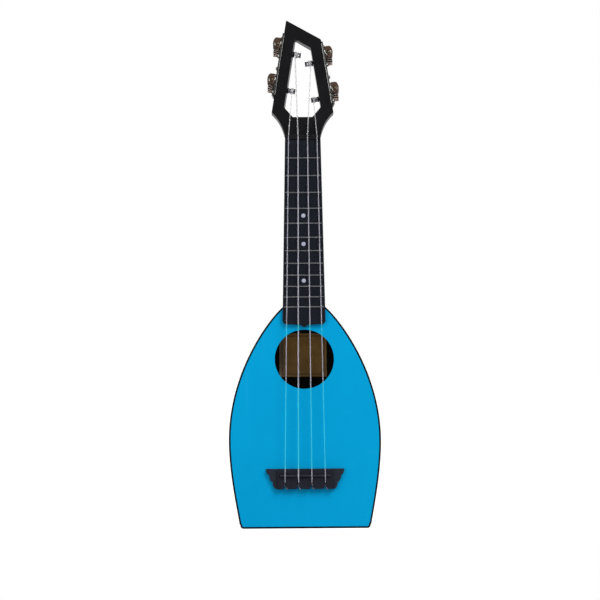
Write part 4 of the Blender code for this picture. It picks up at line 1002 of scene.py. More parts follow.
def body_outline():
    shoulder = Vector((JOINT_WIDTH / 2, BODY_LENGTH))
    widest = Vector((BODY_HALF_WIDTH, WIDEST_HEIGHT))
    base = Vector((BASE_HALF_WIDTH, 0))
    upright = Vector((0, 1))
    half = [shoulder]
    half += bezier(shoulder, shoulder + SHOULDER_HANDLE, widest + upright * FLANK_UP, widest, 44)
    lower = bezier(widest, widest - upright * FLANK_DOWN, base + BASE_HANDLE, base, 30)
    half += [p for p in lower if p[1] > BASE_CORNER * 1.2]
    corner = Vector((BASE_HALF_WIDTH - BASE_CORNER, BASE_CORNER))
    half += arc(corner, BASE_CORNER, 5, -90, 8)
    return both_halves(half)


def make_shell():
    """One moulding: lip, seat for the soundboard, cavity, sides and rounded back."""
    bm = bmesh.new()
    face = flat_face(bm, [(x, FRONT, z) for x, z in body_outline()])
    inset(bm, face, LIP)
    outside = [e for e in bm.edges if len(e.link_faces) == 1]
    face = sink(bm, face, (0, BOARD_THICKNESS + FIT_GAP, 0))
    inset(bm, face, WALL - LIP)
    face = sink(bm, face, (0, BACK_INSIDE - BOARD_BACK - FIT_GAP, 0))
    made = bmesh.ops.extrude_edge_only(bm, edges=outside)["geom"]
    verts = [v for v in made if isinstance(v, bmesh.types.BMVert)]
    bmesh.ops.translate(bm, verts=verts, vec=(0, BODY_DEPTH, 0))
    rim = [e for e in made if isinstance(e, bmesh.types.BMEdge) and all(v in verts for v in e.verts)]
    bmesh.ops.edgeloop_fill(bm, edges=rim)
    bmesh.ops.recalc_face_normals(bm, faces=bm.faces)
    soften(bm, crisp(bm, lambda p: p.y > BODY_DEPTH / 2 - ON_PLANE), BACK_EDGE, 6)
    soften(bm, crisp(bm, lambda p: abs(p.y - BACK_INSIDE) < ON_PLANE), CAVITY_EDGE, 3)
    soften(bm, crisp(bm, lambda p: p.y < FRONT + ON_PLANE), LIP_EDGE, 2)
    bm = combined(bm, [bolt_bore(BOLT_IN_WALL)])
    make_piece("moulded_shell", bm, "shell", nodes=["body_shell"])


def bolt_bore(depth):
    """The neck bolt's hole, from inside the body to a depth past the joint."""
    start, end = ((0, BOLT_Y, BODY_LENGTH + z) for z in (-BOLT_BELOW, depth))
    return rod(start, end, BOLT_RADIUS + FIT_GAP, 24)


def make_soundboard():
    bm = slab(body_outline(), FRONT, BOARD_BACK, LIP + FIT_GAP)
    start, end = ((0, y, SOUNDHOLE_HEIGHT) for y in (FRONT - 2 * OVERCUT, BOARD_BACK + 2 * OVERCUT))
    bm = combined(bm, [rod(start, end, SOUNDHOLE_RADIUS, 128)])
    soften(bm, crisp(bm, lambda p: p.y < FRONT + ON_PLANE), BOARD_EDGE, 3)
    make_piece("painted_soundboard", bm, "top", nodes=["soundboard"])


def make_label():
    """Kraft paper inside the back; its corners have come a little loose."""
    width, height = LABEL_SIZE
    bm = bmesh.new()
    turn = Matrix.Rotation(math.pi / 2, 4, "X")
    bmesh.ops.create_grid(bm, x_segments=32, y_segments=30, size=0.5, matrix=turn)
    bmesh.ops.scale(bm, vec=(width, 1, height), verts=bm.verts)
    for vert in bm.verts:  # 0 on its middle lines, 1 at its corners
        towards_corner = 4 * abs(vert.co.x / width) * abs(vert.co.z / height)
        vert.co.y -= LABEL_CURL * towards_corner**6
    paper_y = BACK_INSIDE - FIT_GAP - LABEL_LIFT
    bmesh.ops.translate(bm, vec=(LABEL_MIDDLE[0], paper_y, LABEL_MIDDLE[1]), verts=bm.verts)
    bmesh.ops.solidify(bm, geom=bm.faces[:], thickness=LABEL_PAPER)
    make_piece("paper_label", bm, "label", nodes=["soundhole_label"])


# Neck

def board_half_width(height):
    share = (NUT_HEIGHT - height) / (NUT_HEIGHT - BODY_LENGTH)
    return (NUT_WIDTH + (JOINT_WIDTH - NUT_WIDTH) * share) / 2


def fret_height(number):
    return NUT_HEIGHT - SCALE_LENGTH * (1 - 2 ** (-number / 12))


def string_x(index, spread):
    return spread * (index / 3 - 0.5)


def string_plane(height):
    """Y of the strings' undersides."""
    rise = (CLEARANCE_AT_JOINT - CLEARANCE_AT_NUT) / (NUT_HEIGHT - BODY_LENGTH)
    return FRET_TOP - CLEARANCE_AT_NUT - rise * (NUT_HEIGHT - height)


def neck_section(half_width, front, depth, height, steps=30):
    """A ring round the neck: flat in front, with short straight sides and a round back."""
    side = min(NECK_SIDE, depth / 3)
    across, deep = NECK_FULLNESS
    points = [(half_width, front, height)]
    for i in range(steps + 1):
        angle = math.pi * i / steps
        x = half_width * math.copysign(abs(math.cos(angle)) ** across, math.cos(angle))
        points.append((x, front + side + (depth - side) * math.sin(angle) ** deep, height))
    points.append((-half_width, front, height))
    return points


def neck_rings():
    """Sections from the heel's foot up the neck and into the tilted headstock."""
    rings = []
    bottom = BODY_LENGTH + FIT_GAP
    nut_top = NUT_HEIGHT + NUT_THICKNESS
    for i in range(NECK_RINGS + 1):
        share = i / NECK_RINGS
        height = bottom + (NUT_HEIGHT - bottom) * share**RING_CROWDING
        depth = HEEL_TOP_DEPTH + (NECK_DEPTH - HEEL_TOP_DEPTH) * share
        heel = max(0.0, 1 - (height - bottom) / HEEL_LENGTH)
        depth += (HEEL_DEPTH - HEEL_TOP_DEPTH) * heel**HEEL_SHARPNESS
        rings.append(neck_section(board_half_width(height), FRONT, depth, height))
    half_width = NUT_WIDTH / 2
    rings.append(neck_section(half_width, FRONT, NECK_DEPTH, nut_top))
    lean = math.tan(HEAD_TILT)
    for rise, share in JOIN_STEPS:
        height = nut_top + JOIN_LENGTH * rise
        sunk = FRONT + (height - nut_top) * lean + JOIN_SINK
        depth = NECK_DEPTH + (JOIN_DEPTH - NECK_DEPTH) * share - JOIN_SINK
        rings.append(neck_section(half_width - JOIN_TAPER * rise, sunk, depth, height))
    return rings


def head_frame():
    turn = Matrix.Rotation(math.pi / 2 - HEAD_TILT, 4, "X")
    return Matrix.Translation((0, FRONT, NUT_HEIGHT + NUT_THICKNESS)) @ turn


def side_point(side, distance, inward=0.0):
    """A point on a headstock side, measured up from its widest point."""
    up = Vector((-side * math.sin(HEAD_FLARE), math.cos(HEAD_FLARE)))
    inwards = Vector((-side * math.cos(HEAD_FLARE), -math.sin(HEAD_FLARE)))
    return Vector((side * HEAD_HALF_WIDTH, HEAD_SHOULDER)) + up * distance + inwards * inward


def window_point(side, height):
    base = side_point(side, 0, RAIL_WIDTH)
    return Vector((base[0] - side * (height - base[1]) * math.tan(HEAD_FLARE), height))


def head_outline():
    """The headstock, flared from the waist to the shoulders, with its top cut at a slant."""
    foot = Vector((HEAD_FOOT / 2, 0))
    shoulder = Vector((HEAD_HALF_WIDTH, HEAD_SHOULDER))
    waist = bezier(foot, foot.lerp(HEAD_WAIST, 2 / 3), shoulder.lerp(HEAD_WAIST, 2 / 3), shoulder, 24)
    right = [foot] + waist
    left = [Vector((-p[0], p[1])) for p in reversed(right)]
    corners = [side_point(side, HEAD_SIDES[side]) for side in (1, -1)]
    return right[:-1] + eased(right[-1:] + corners + left[:1], HEAD_CORNER, 4) + left[1:]


def window_outline():
    foot = [Vector((side * WINDOW_FOOT[0], WINDOW_FOOT[1])) for side in (-1, 1)]
    right = [window_point(1, WINDOW_CORNER), window_point(1, WINDOW_TOPS[1])]
    left = [window_point(-1, WINDOW_TOPS[-1]), window_point(-1, WINDOW_CORNER)]
    return eased(foot + right + left, WINDOW_ROUND, 3, closed=True)


def head_slab():
    """The skeleton headstock, with its face and its window's rim lightly rounded."""
    bm = plate_shape(head_outline(), -HEAD_THICKNESS, 0)
    window = plate_shape(window_outline(), -HEAD_THICKNESS - OVERCUT, OVERCUT)
    for vert in window.verts:
        if vert.co.x < 0 and vert.co.y > WINDOW_CORNER - WINDOW_ROUND - PLAY:
            vert.co.x -= WALL_SLANT * (vert.co.z + HEAD_THICKNESS / 3)
    bm = combined(bm, [window])

    def on_a_face(p):
        return p.y > 0.001 and any(abs(p.z - w) < ON_PLANE for w in (0.0, -HEAD_THICKNESS))

    soften(bm, crisp(bm, on_a_face), HEAD_EDGE, 3)
    return moved(bm, head_frame())


def tuner_side(index):
    return -1 if index < 2 else 1


def tuner_station(index):
    lower = STATIONS[tuner_side(index)]
    return lower if index in (0, 3) else lower + TUNER_SPACING


def rail_frame(side, station):
    """On a rail's outer side at the head's middle: X away from the left rail, Y up it, Z is w."""
    u, v = side_point(side, station)
    turn = Matrix.Rotation(side * HEAD_FLARE, 4, "Z")
    return head_frame() @ Matrix.Translation((u, v, -HEAD_THICKNESS / 2)) @ turn


def drilled(side, place, depth, radius, sides):
    """A drill through a rail's outer side, as deep as it goes into the rail."""
    start, end = (place @ Vector((x, 0, 0)) for x in (side * OVERCUT, -side * depth))
    return rod(start, end, radius, sides)


def rail_holes():
    """Holes for posts and screws, and the rebate behind each plate's front edge."""
    holes = []
    for index in range(4):
        side = tuner_side(index)
        place = rail_frame(side, tuner_station(index))
        holes.append(drilled(side, place, RAIL_WIDTH + OVERCUT, SHAFT_RADIUS + FIT_GAP, 24))
    for side, _ in SIDES:
        for height in PLATE_SCREWS:
            place = rail_frame(side, STATIONS[side] + height)
            holes.append(drilled(side, place, PLATE_SCREW_DEPTH, PLATE_SCREW_BORE, 12))
        low = (-REBATE_DEPTH, REBATE_END - PLATE_BELOW, PLATE_HALF_WIDTH - REBATE_FLOOR)
        high = (2 * OVERCUT, TUNER_SPACING + PLATE_ABOVE - REBATE_END, PLATE_HALF_WIDTH + 3 * OVERCUT)
        holes.append(moved(sided_block(side, low, high), rail_frame(side, STATIONS[side])))
    return holes


def sided_block(side, low, high):
    """A block given with X out of the rail, on its own side."""
    near, far = sorted((side * low[0], side * high[0]))
    return block((near, *low[1:]), (far, *high[1:]))


def make_neck():
    bm = combined(lofted(neck_rings()), [head_slab()], "UNION")
    bm = combined(bm, [bolt_bore(BOLT_IN_HEEL)] + rail_holes())
    make_piece("neck_and_head", bm, "neck", nodes=["neck"], sharp=30)


def fretboard_outline():
    end = BODY_LENGTH - OVERHANG
    corner = Vector((board_half_width(end) - FRETBOARD_CORNER, end + FRETBOARD_CORNER))
    tip_half_width, tip_foot, tip_length = FRETBOARD_TIP
    half = [Vector((board_half_width(NUT_HEIGHT), NUT_HEIGHT - FIT_GAP))]
    half += arc(corner, FRETBOARD_CORNER, 0, -90, 12)
    half += [Vector((tip_half_width, end - tip_foot)), Vector((0, end - tip_length))]
    return both_halves(half)


def make_fretboard():
    """The board with its front edges rounded, its fret slots and its holes for the dots."""
    bm = slab(fretboard_outline(), FRETBOARD_FACE, BOARD_BED)
    front = crisp(bm, lambda p: p.y < FRETBOARD_FACE + ON_PLANE and p.z < NUT_HEIGHT - NEAR_NUT)
    soften(bm, front, FRETBOARD_EDGE, 3)
    above = FRETBOARD_FACE - OVERCUT
    cuts = []
    for number in FRETS:
        height = fret_height(number)
        half = board_half_width(height) - FRET_MARGIN + FIT_GAP
        slot = FRET_TANG / 2 + FIT_GAP
        floor = FRETBOARD_FACE + FRET_TANG_DEPTH + FIT_GAP
        cuts.append(block((-half, above, height - slot), (half, floor, height + slot)))
    for number in DOTS:
        floor = FRETBOARD_FACE + DOT_DEPTH + FIT_GAP
        start, end = ((0, y, dot_height(number)) for y in (above, floor))
        cuts.append(rod(start, end, DOT_RADIUS + PLAY / 2, 48))
    make_piece("fingerboard", combined(bm, [merged(*cuts)]), "board", nodes=["fretboard"])


def dot_height(number):
    return (fret_height(number) + fret_height(number - 1)) / 2


def fret_section():
    """A round crown on a thin tang, as (depth into the board, height along it) pairs."""
    points = [(FRET_TANG_DEPTH, -FRET_TANG / 2), (-FIT_GAP, -FRET_TANG / 2)]
    for i in range(13):
        angle = math.pi * i / 12
        points.append((-FIT_GAP - FRET_HEIGHT * math.sin(angle), -FRET_WIDTH / 2 * math.cos(angle)))
    return points + [(-FIT_GAP, FRET_TANG / 2), (FRET_TANG_DEPTH, FRET_TANG / 2)]


def make_frets():
    """The fret wires, with their ends dressed at a slant."""
    for number in FRETS:
        half = board_half_width(fret_height(number)) - FRET_MARGIN
        bm = prism([(-half, y, z) for y, z in fret_section()], (2 * half, 0, 0))
        for vert in bm.verts:
            if vert.co.y < -FIT_GAP:
                slant = FRET_END_SLANT * (-FIT_GAP - vert.co.y)
                vert.co.x -= math.copysign(slant, vert.co.x)
        bmesh.ops.recalc_face_normals(bm, faces=bm.faces)
        soften(bm, crisp(bm, lambda p: p.y < -FIT_GAP - FRET_FLANK, 30), FRET_END_EDGE, 2)
        place = Matrix.Translation((0, FRETBOARD_FACE, fret_height(number)))
        make_piece(f"fret_wire_{number:02d}", bm, "fret", nodes=[f"fret_{number:02d}"], place=place)


def make_dots():
    middle, shoulder = DOT_SWELL
    profile = [
        (0, middle), (DOT_RADIUS * 0.6, shoulder), (DOT_RADIUS, 0), (DOT_RADIUS, -DOT_DEPTH), (0, -DOT_DEPTH),
    ]
    for number in DOTS:
        bm = turned(profile, 64, DOT_EDGE, 2)
        place = aim((0, FRETBOARD_FACE, dot_height(number)), (0, -1, 0))
        make_piece(f"pearl_dot_{number}", bm, "pearl", nodes=[f"dot_{number}"], place=place)


def string_slots(spread, face, floor, low, high):
    """A slot for each string, cut from the face down to the floor."""
    slots = []
    for index, diameter in enumerate(STRING_DIAMETERS):
        x, half = string_x(index, spread), diameter / 2 + PLAY
        slots.append(block((x - half, face - OVERCUT, low), (x + half, floor, high)))
    return slots


def make_nut():
    half = NUT_WIDTH / 2
    top = NUT_HEIGHT + NUT_THICKNESS - FIT_GAP
    face = FRETBOARD_FACE - NUT_RISE
    bm = block((-half, face, NUT_HEIGHT), (half, BOARD_BED, top))
    soften(bm, crisp(bm, lambda p: p.y < face + ON_PLANE and p.z > top - ON_PLANE), NUT_CROWN, 6)
    soften(bm, crisp(bm, lambda p: p.y < face + ON_PLANE or abs(p.x) > half - ON_PLANE), NUT_EDGE, 3)
    floor = string_plane(NUT_HEIGHT) + PLAY
    slots = string_slots(NUT_SPREAD, face, floor, NUT_HEIGHT - OVERCUT, top + OVERCUT)
    make_piece("string_nut", combined(bm, [merged(*slots)]), "nut", nodes=["nut"])


# Bridge

def bridge_outline():
    """The bridge, narrower at its foot, with scalloped ends."""
    upper = Vector((BRIDGE_HALF_HEAD, BRIDGE_HEAD))
    lower = Vector((BRIDGE_HALF_FOOT, BRIDGE_FOOT))
    slant = (lower - upper).normalized()
    outward = Vector((-slant[1], slant[0])) * SCALLOP_BULGE * 4 / 3
    half = [upper]
    for i in range(SCALLOPS):
        start = upper.lerp(lower, i / SCALLOPS)
        end = upper.lerp(lower, (i + 1) / SCALLOPS)
        half += bezier(start, start.lerp(end, 0.3) + outward, start.lerp(end, 0.7) + outward, end, 12)
    return both_halves(half)


def saddle_slot():
    half_length = SADDLE_HALF_LENGTH + PLAY
    half_width = SADDLE_THICKNESS / 2 + PLAY
    floor = BLOCK_FACE + SADDLE_SLOT_DEPTH + FIT_GAP
    return block(
        (-half_length, BLOCK_FACE - 2 * OVERCUT, SADDLE_HEIGHT - half_width),
        (half_length, floor, SADDLE_HEIGHT + half_width),
    )


def string_mouth(x):
    """The pointed mouth where a string's notch opens at the bridge's foot."""
    half, below = MOUTH_WIDTH / 2, BRIDGE_FOOT - OVERCUT
    points = [
        (x, BRIDGE_FOOT + MOUTH_LENGTH), (x + half, BRIDGE_FOOT), (x + half, below),
        (x - half, below), (x - half, BRIDGE_FOOT),
    ]
    return slab(points, BLOCK_FACE - OVERCUT, BOARD_BED + OVERCUT)


def make_bridge():
    """Thin wings and a raised block, with the saddle's slot, the strings' notches and mouths."""
    bm = slab(bridge_outline(), WING_FACE, BOARD_BED)
    soften(bm, crisp(bm, lambda p: p.y < WING_FACE + ON_PLANE), WING_EDGE, 4)
    head, foot = BRIDGE_HEAD - FIT_GAP, BRIDGE_FOOT + FIT_GAP
    low, high = (-BLOCK_HALF_WIDTH, BLOCK_FACE, foot), (BLOCK_HALF_WIDTH, BOARD_BED - BLOCK_SUNK, head)
    raised = block(low, high)
    soften(raised, crisp(raised, lambda p: p.y < BLOCK_FACE + ON_PLANE), BLOCK_EDGE, 4)
    bm = combined(bm, [raised], "UNION")
    floor = BOARD_BED - NOTCH_FLOOR
    notches = string_slots(SADDLE_SPREAD, BLOCK_FACE, floor, foot - OVERCUT, foot + NOTCH_LENGTH)
    mouths = [string_mouth(string_x(index, SADDLE_SPREAD)) for index in range(4)]
    bm = combined(bm, [merged(saddle_slot(), *notches), merged(*mouths)])
    make_piece("bridge_carved", bm, "bridge", nodes=["bridge"], sharp=30)


def make_saddle():
    half = SADDLE_THICKNESS / 2 - SADDLE_TRIM
    top = string_plane(SADDLE_HEIGHT) + PLAY
    bm = block(
        (-SADDLE_HALF_LENGTH, top, SADDLE_HEIGHT - half),
        (SADDLE_HALF_LENGTH, BLOCK_FACE + SADDLE_SLOT_DEPTH, SADDLE_HEIGHT + half),
    )
    soften(bm, crisp(bm, lambda p: p.y < top + ON_PLANE), SADDLE_CROWN, 5)
    make_piece("saddle_bar", bm, "saddle", nodes=["saddle"])


# Strings

def post_axis(index):
    """The post's rail frame, and a place on its axis whose Z points into the window."""
    side = tuner_side(index)
    place = rail_frame(side, tuner_station(index))
    return side, place, aim(place.translation, place.to_3x3() @ Vector((-side, 0, 0)))


def string_path(index):
    """From its knot up through the bridge, over saddle and nut, to its post."""
    radius = STRING_DIAMETERS[index] / 2
    saddle_x = string_x(index, SADDLE_SPREAD)
    nut_x = string_x(index, NUT_SPREAD)
    saddle_y = string_plane(SADDLE_HEIGHT) - radius
    nut_y = string_plane(NUT_HEIGHT) - radius
    side, place, _ = post_axis(index)
    post = place @ Vector((-side * (RAIL_WIDTH + STRING_REACH[index]), 0, ROLLER_RADIUS + radius))
    deep = BOARD_BED - NOTCH_FLOOR - radius - PLAY
    route = [
        (saddle_x, deep, BRIDGE_FOOT + STRING_START),
        (saddle_x, deep, BRIDGE_FOOT + STRING_RISE),
        (saddle_x, BLOCK_FACE - radius * 0.4, BRIDGE_FOOT + STRING_AT_BLOCK),
        (saddle_x, saddle_y + SADDLE_DIP, SADDLE_HEIGHT - SADDLE_THICKNESS / 2),
        (saddle_x, saddle_y, SADDLE_HEIGHT + SADDLE_CREST),
        (nut_x, nut_y, NUT_HEIGHT + NUT_CREST),
        (nut_x, nut_y + NUT_DIP, NUT_HEIGHT + NUT_THICKNESS - NUT_BACK),
        post,
    ]
    return eased(route, STRING_BEND, 4)


def knot_path(index):
    """The string's end tied round itself behind the bridge, with its tail laid to the lower right."""
    radius = STRING_DIAMETERS[index] / 2
    x = string_x(index, SADDLE_SPREAD)
    y = BOARD_BED - NOTCH_FLOOR - radius - PLAY
    z = BRIDGE_FOOT + KNOT_HEIGHT
    turn = radius * KNOT_SIZE
    path = [Vector((x, y, z + turn * 1.6))]
    for i in range(25):
        angle = math.radians(90 + 30 * i)
        step = (i / 24 - 0.5) * radius * KNOT_SPREAD
        path.append(Vector((x + step, y + turn * math.cos(angle) * 0.9, z + turn * math.sin(angle))))
    tail_x, tail_z = KNOT_TAIL
    path.append(Vector((x + radius * 1.6, y - radius * 0.6, BRIDGE_FOOT + KNOT_TAIL_START)))
    path.append(Vector((x + tail_x, y - radius, BRIDGE_FOOT + tail_z)))
    return eased(path, KNOT_BEND, 2)


def winding_path(index):
    """Coils side by side round the roller, in line with the string where it meets them."""
    radius = STRING_DIAMETERS[index] / 2
    side, place, _ = post_axis(index)
    first, last = WINDINGS[index]
    around = ROLLER_RADIUS + radius
    steps = int((last - first) / radius * WINDING_STEPS)
    path = []
    for i in range(steps + 1):
        reach = first + (last - first) * i / steps
        turn = math.pi * (reach - STRING_REACH[index]) / radius / WINDING_PITCH
        x = -side * (RAIL_WIDTH + reach)
        path.append(place @ Vector((x, around * math.sin(turn), around * math.cos(turn))))
    return path


def make_strings():
    for index, letter in enumerate(STRINGS):
        radius = STRING_DIAMETERS[index] / 2
        bm = merged(tube(string_path(index), radius), tube(knot_path(index), radius))
        make_piece(f"nylon_string_{letter}", bm, "nylon", nodes=[f"string_{letter}"], sharp=60)
        coils = tube(winding_path(index), radius)
        make_piece(f"winding_{letter}", coils, "nylon", body=f"tuner_post_{letter}", sharp=60)


# Tuners

def make_plates():
    """One long plate a side, with rounded ends, holes for posts and screws, and a bead on its edge; the plate
    is darkened as painted shade, and the bead's lighter steel is a painted highlight.
    """
    top = TUNER_SPACING + PLATE_ABOVE
    corners = [
        (-PLATE_HALF_WIDTH, -PLATE_BELOW), (PLATE_HALF_WIDTH, -PLATE_BELOW),
        (PLATE_HALF_WIDTH, top), (-PLATE_HALF_WIDTH, top),
    ]
    outline = eased(corners, PLATE_END, 8, closed=True)
    bores = [(height, SHAFT_RADIUS + FIT_GAP, 24) for height in (0, TUNER_SPACING)]
    bores += [(height, PLATE_SCREW_BORE, 12) for height in PLATE_SCREWS]
    through = 2 * PLATE_FACE
    sunk, below_edge, from_end = BEAD_INSET
    for side, word in SIDES:
        place = rail_frame(side, STATIONS[side])
        thickness = (side * (PLATE_FACE - FIT_GAP), 0, 0)
        bm = prism([(side * FIT_GAP, s, w) for w, s in outline], thickness)
        soften(bm, crisp(bm, lambda p: abs(p.x) > PLATE_FACE - ON_PLANE), PLATE_EDGE, 3)
        holes = [rod((-through, s, 0), (through, s, 0), radius, sides) for s, radius, sides in bores]
        bm = combined(bm, [merged(*holes)])
        make_piece(f"plate_{word}", bm, "plate", nodes=[f"tuner_plate_{word}"], place=place)
        ends = (from_end - PLATE_BELOW, top - from_end)
        line = [(-side * sunk, s, PLATE_HALF_WIDTH - below_edge) for s in ends]
        # painted highlight: the bead is in lighter steel than the darkened plate
        make_piece(f"plate_bead_{word}", tube(line, BEAD_RADIUS, 5), "screw", place=place)


def hooked_ear(side, low):
    """An ear of the bracket, joined to its foot low down, with a slot beside the plate."""
    hook = [(side * x, GEAR_TO_WORM + s) for x, s in EAR_HOOK]
    ear = plate_shape(hook, low, low + EAR_THICKNESS)
    return soften(ear, crisp(ear, lambda p: abs(p.x) > PLATE_FACE + EAR_EDGE * 2, 70), EAR_EDGE, 2)


def make_bracket(index):
    """The worm's bracket, two hooked ears on a split foot, with the wire clip that keeps the worm in."""
    letter, side = STRINGS[index], tuner_side(index)
    place = rail_frame(side, tuner_station(index))
    half = EAR_FACE - PLAY
    feet = []
    for start, end in FOOT_SPANS:
        low = (PLATE_FACE, GEAR_TO_WORM + start, -half)
        high = (PLATE_FACE + FOOT_HEIGHT, GEAR_TO_WORM + end, half)
        feet.append(sided_block(side, low, high))
    ears = [hooked_ear(side, low) for low in (-EAR_FACE, EAR_FACE - EAR_THICKNESS)]
    bm = combined(merged(*feet), ears, "UNION")
    axis = Vector((side * OUTBOARD, GEAR_TO_WORM, 0))
    reach = Vector((0, 0, EAR_FACE + 3 * OVERCUT))
    bm = combined(bm, [rod(axis - reach, axis + reach, JOURNAL_RADIUS + PLAY, 32)])
    make_piece(f"worm_bracket_{letter}", bm, "bronze", place=place)
    low, high = LUG_SPAN
    lug = sided_block(side, (PLATE_FACE, low, -LUG_HALF_WIDTH), (LUG_REACH, high, LUG_HALF_WIDTH))
    soften(lug, crisp(lug, lambda p: abs(p.x) > LUG_REACH - LUG_EDGE), LUG_EDGE, 2)
    make_piece(f"plate_lug_{letter}", lug, "dark", place=place)
    wires = []
    for first, last in CLIP_ARCS:
        bends = arc((0, 0), CLIP_RADIUS, first, last, 14)
        line = [(axis.x - side * x, axis.y + s, EAR_FACE + WORM_FRONT) for x, s in bends]
        wires.append(tube(line, CLIP_WIRE, 4))
    make_piece(f"worm_clip_{letter}", merged(*wires), "nickel", place=place)


def outboard_place(index, up):
    """A place beside the rail in line with the worm and the gear, at a height from the post."""
    side = tuner_side(index)
    return rail_frame(side, tuner_station(index)) @ Matrix.Translation((side * OUTBOARD, up, 0))


def rounded_wave(phase):
    """A wave from -1 to 1 with flattened crests and valleys, for teeth and threads."""
    return max(-1.0, min(1.0, TOOTH_FLATNESS * math.cos(phase)))


def make_worm(index):
    """The worm on its shaft, with a thread that runs out at both ends, and its rivet's domed head."""
    letter = STRINGS[index]
    place = outboard_place(index, GEAR_TO_WORM)
    body = f"tuner_key_{letter}"
    half = WORM_LENGTH / 2
    inner = EAR_FACE - EAR_THICKNESS - FIT_GAP
    back, front = EAR_FACE + WORM_BACK, EAR_FACE + WORM_FRONT
    profile = [
        (0, -back - WORM_TAIL), (SHAFT_RADIUS, -back - WORM_TAIL), (SHAFT_RADIUS, -back),
        (JOURNAL_RADIUS, -back), (JOURNAL_RADIUS, -inner),
    ]
    profile += [(WORM_RADIUS, -half + WORM_LENGTH * i / WORM_STEPS) for i in range(WORM_STEPS + 1)]
    profile += [(JOURNAL_RADIUS, inner), (JOURNAL_RADIUS, front), (0, front)]
    bm = turned(profile, 40)
    for vert in bm.verts:
        x, y, w = vert.co
        if abs(math.hypot(x, y) - WORM_RADIUS) < 1e-6:
            crest = rounded_wave(2 * math.pi * w / TOOTH_PITCH - (math.atan2(y, x) + math.pi / 2))
            run_out = min(1.0, (half - abs(w)) / WORM_RUN_OUT + 0.1)
            radius = WORM_RADIUS - TOOTH * crest - TOOTH * 0.6 * (1 - run_out)
            vert.co.x, vert.co.y = x * radius / WORM_RADIUS, y * radius / WORM_RADIUS
    make_piece(f"worm_screw_{letter}", bm, "bronze", body, [f"worm_{letter}"], place, sharp=50)
    rivet = turned([(radius, front + height) for radius, height in RIVET_HEAD], 48, RIVET_EDGE, 4)
    make_piece(f"worm_rivet_{letter}", rivet, "rivet", body, place=place)


def make_button(index):
    """An oval tuning button on a round collar."""
    letter = STRINGS[index]
    start = -(EAR_FACE + WORM_BACK + FIT_GAP)
    swell = [(width, start - BUTTON_LENGTH * share) for width, share in BUTTON_SWELL]
    button = turned(swell, 64, BUTTON_EDGE, 4)
    bmesh.ops.scale(button, vec=BUTTON_HALVES, verts=button.verts)
    collar = turned([(radius, start + height) for radius, height in BUTTON_COLLAR], 48, COLLAR_EDGE)
    bore = rod((0, 0, start + OVERCUT), (0, 0, start - WORM_TAIL), SHAFT_RADIUS + PLAY, 32)
    bm = combined(combined(button, [collar], "UNION"), [bore])
    make_piece(
        f"tuning_button_{letter}", bm, "bronze", f"tuner_key_{letter}", [f"knob_{letter}"],
        outboard_place(index, GEAR_TO_WORM), sharp=50,
    )


def gear_crest(point):
    """How far a point stands out of the valleys between the teeth; a gear's flat ends count as crests."""
    radius = math.hypot(point.y, point.z)
    return 1.0 if radius < GEAR_RADIUS - 1.4 * TOOTH else (radius - GEAR_RADIUS + TOOTH) / (2 * TOOTH)


def toothed_ring(low, high):
    """The gear's slanted teeth, which lean as the worm's thread does."""
    lean = TOOTH_PITCH / (2 * math.pi * WORM_RADIUS * GEAR_RADIUS)
    count = GEAR_TEETH * TOOTH_POINTS
    ring = []
    for i in range(count):
        angle = 2 * math.pi * i / count
        radius = GEAR_RADIUS + TOOTH * rounded_wave(GEAR_TEETH * angle)
        leaned = angle + lean * low
        ring.append((low, radius * math.cos(leaned), radius * math.sin(leaned)))
    bm = prism(ring, (high - low, 0, 0))
    far = [v for v in bm.verts if v.co.x > (low + high) / 2]
    bmesh.ops.rotate(bm, cent=(0, 0, 0), matrix=Matrix.Rotation(lean * (high - low), 3, "X"), verts=far)
    bmesh.ops.recalc_face_normals(bm, faces=bm.faces)
    return soften(bm, crisp(bm, lambda p: min(abs(p.x - low), abs(p.x - high)) < 1e-6, 60), TOOTH_EDGE, 2)


def make_gear(index):
    """The toothed gear, its smooth brass shoulder next to the plate, and the screw that holds it."""
    letter, side = STRINGS[index], tuner_side(index)
    place = outboard_place(index, 0)
    body = f"tuner_post_{letter}"
    half = GEAR_THICKNESS / 2
    low, high = sorted((side * half, side * (GEAR_SHOULDER - half)))
    inside, outside, depth = GEAR_GROOVE
    section = [(inside, -depth), (outside, -depth), (outside, depth), (inside, depth), (inside, -depth)]
    groove = moved(turned(section, 48), aim((side * half, 0, 0), (1, 0, 0)))
    bore = rod((-OUTBOARD, 0, 0), (OUTBOARD, 0, 0), SHAFT_RADIUS + PLAY, 32)
    gear = combined(toothed_ring(low, high), [groove, bore])
    make_piece(
        f"toothed_gear_{letter}", gear, "tooth", body, [f"gear_{letter}"], place, sharp=42, crest=gear_crest,
    )
    bore_radius, foot, rim, face = SHOULDER_RADII
    top = GEAR_SHOULDER - PLAY
    cone = [
        (bore_radius, 0.0), (foot, 0.0), (rim, GEAR_SHOULDER * 0.4), (face, top), (bore_radius, top),
        (bore_radius, 0.0),
    ]
    seat = place @ aim((-side * half, 0, 0), (side, 0, 0))
    make_piece(f"gear_shoulder_{letter}", turned(cone, 64, SHOULDER_EDGE), "brass", body, place=seat)
    screw = combined(turned(GEAR_SCREW, 48, GEAR_SCREW_EDGE), [block(*GEAR_SCREW_SLOT)])
    seat = place @ aim((side * half, 0, 0), (side, 0, 0))
    make_piece(f"gear_screw_{letter}", screw, "screw", body, place=seat)


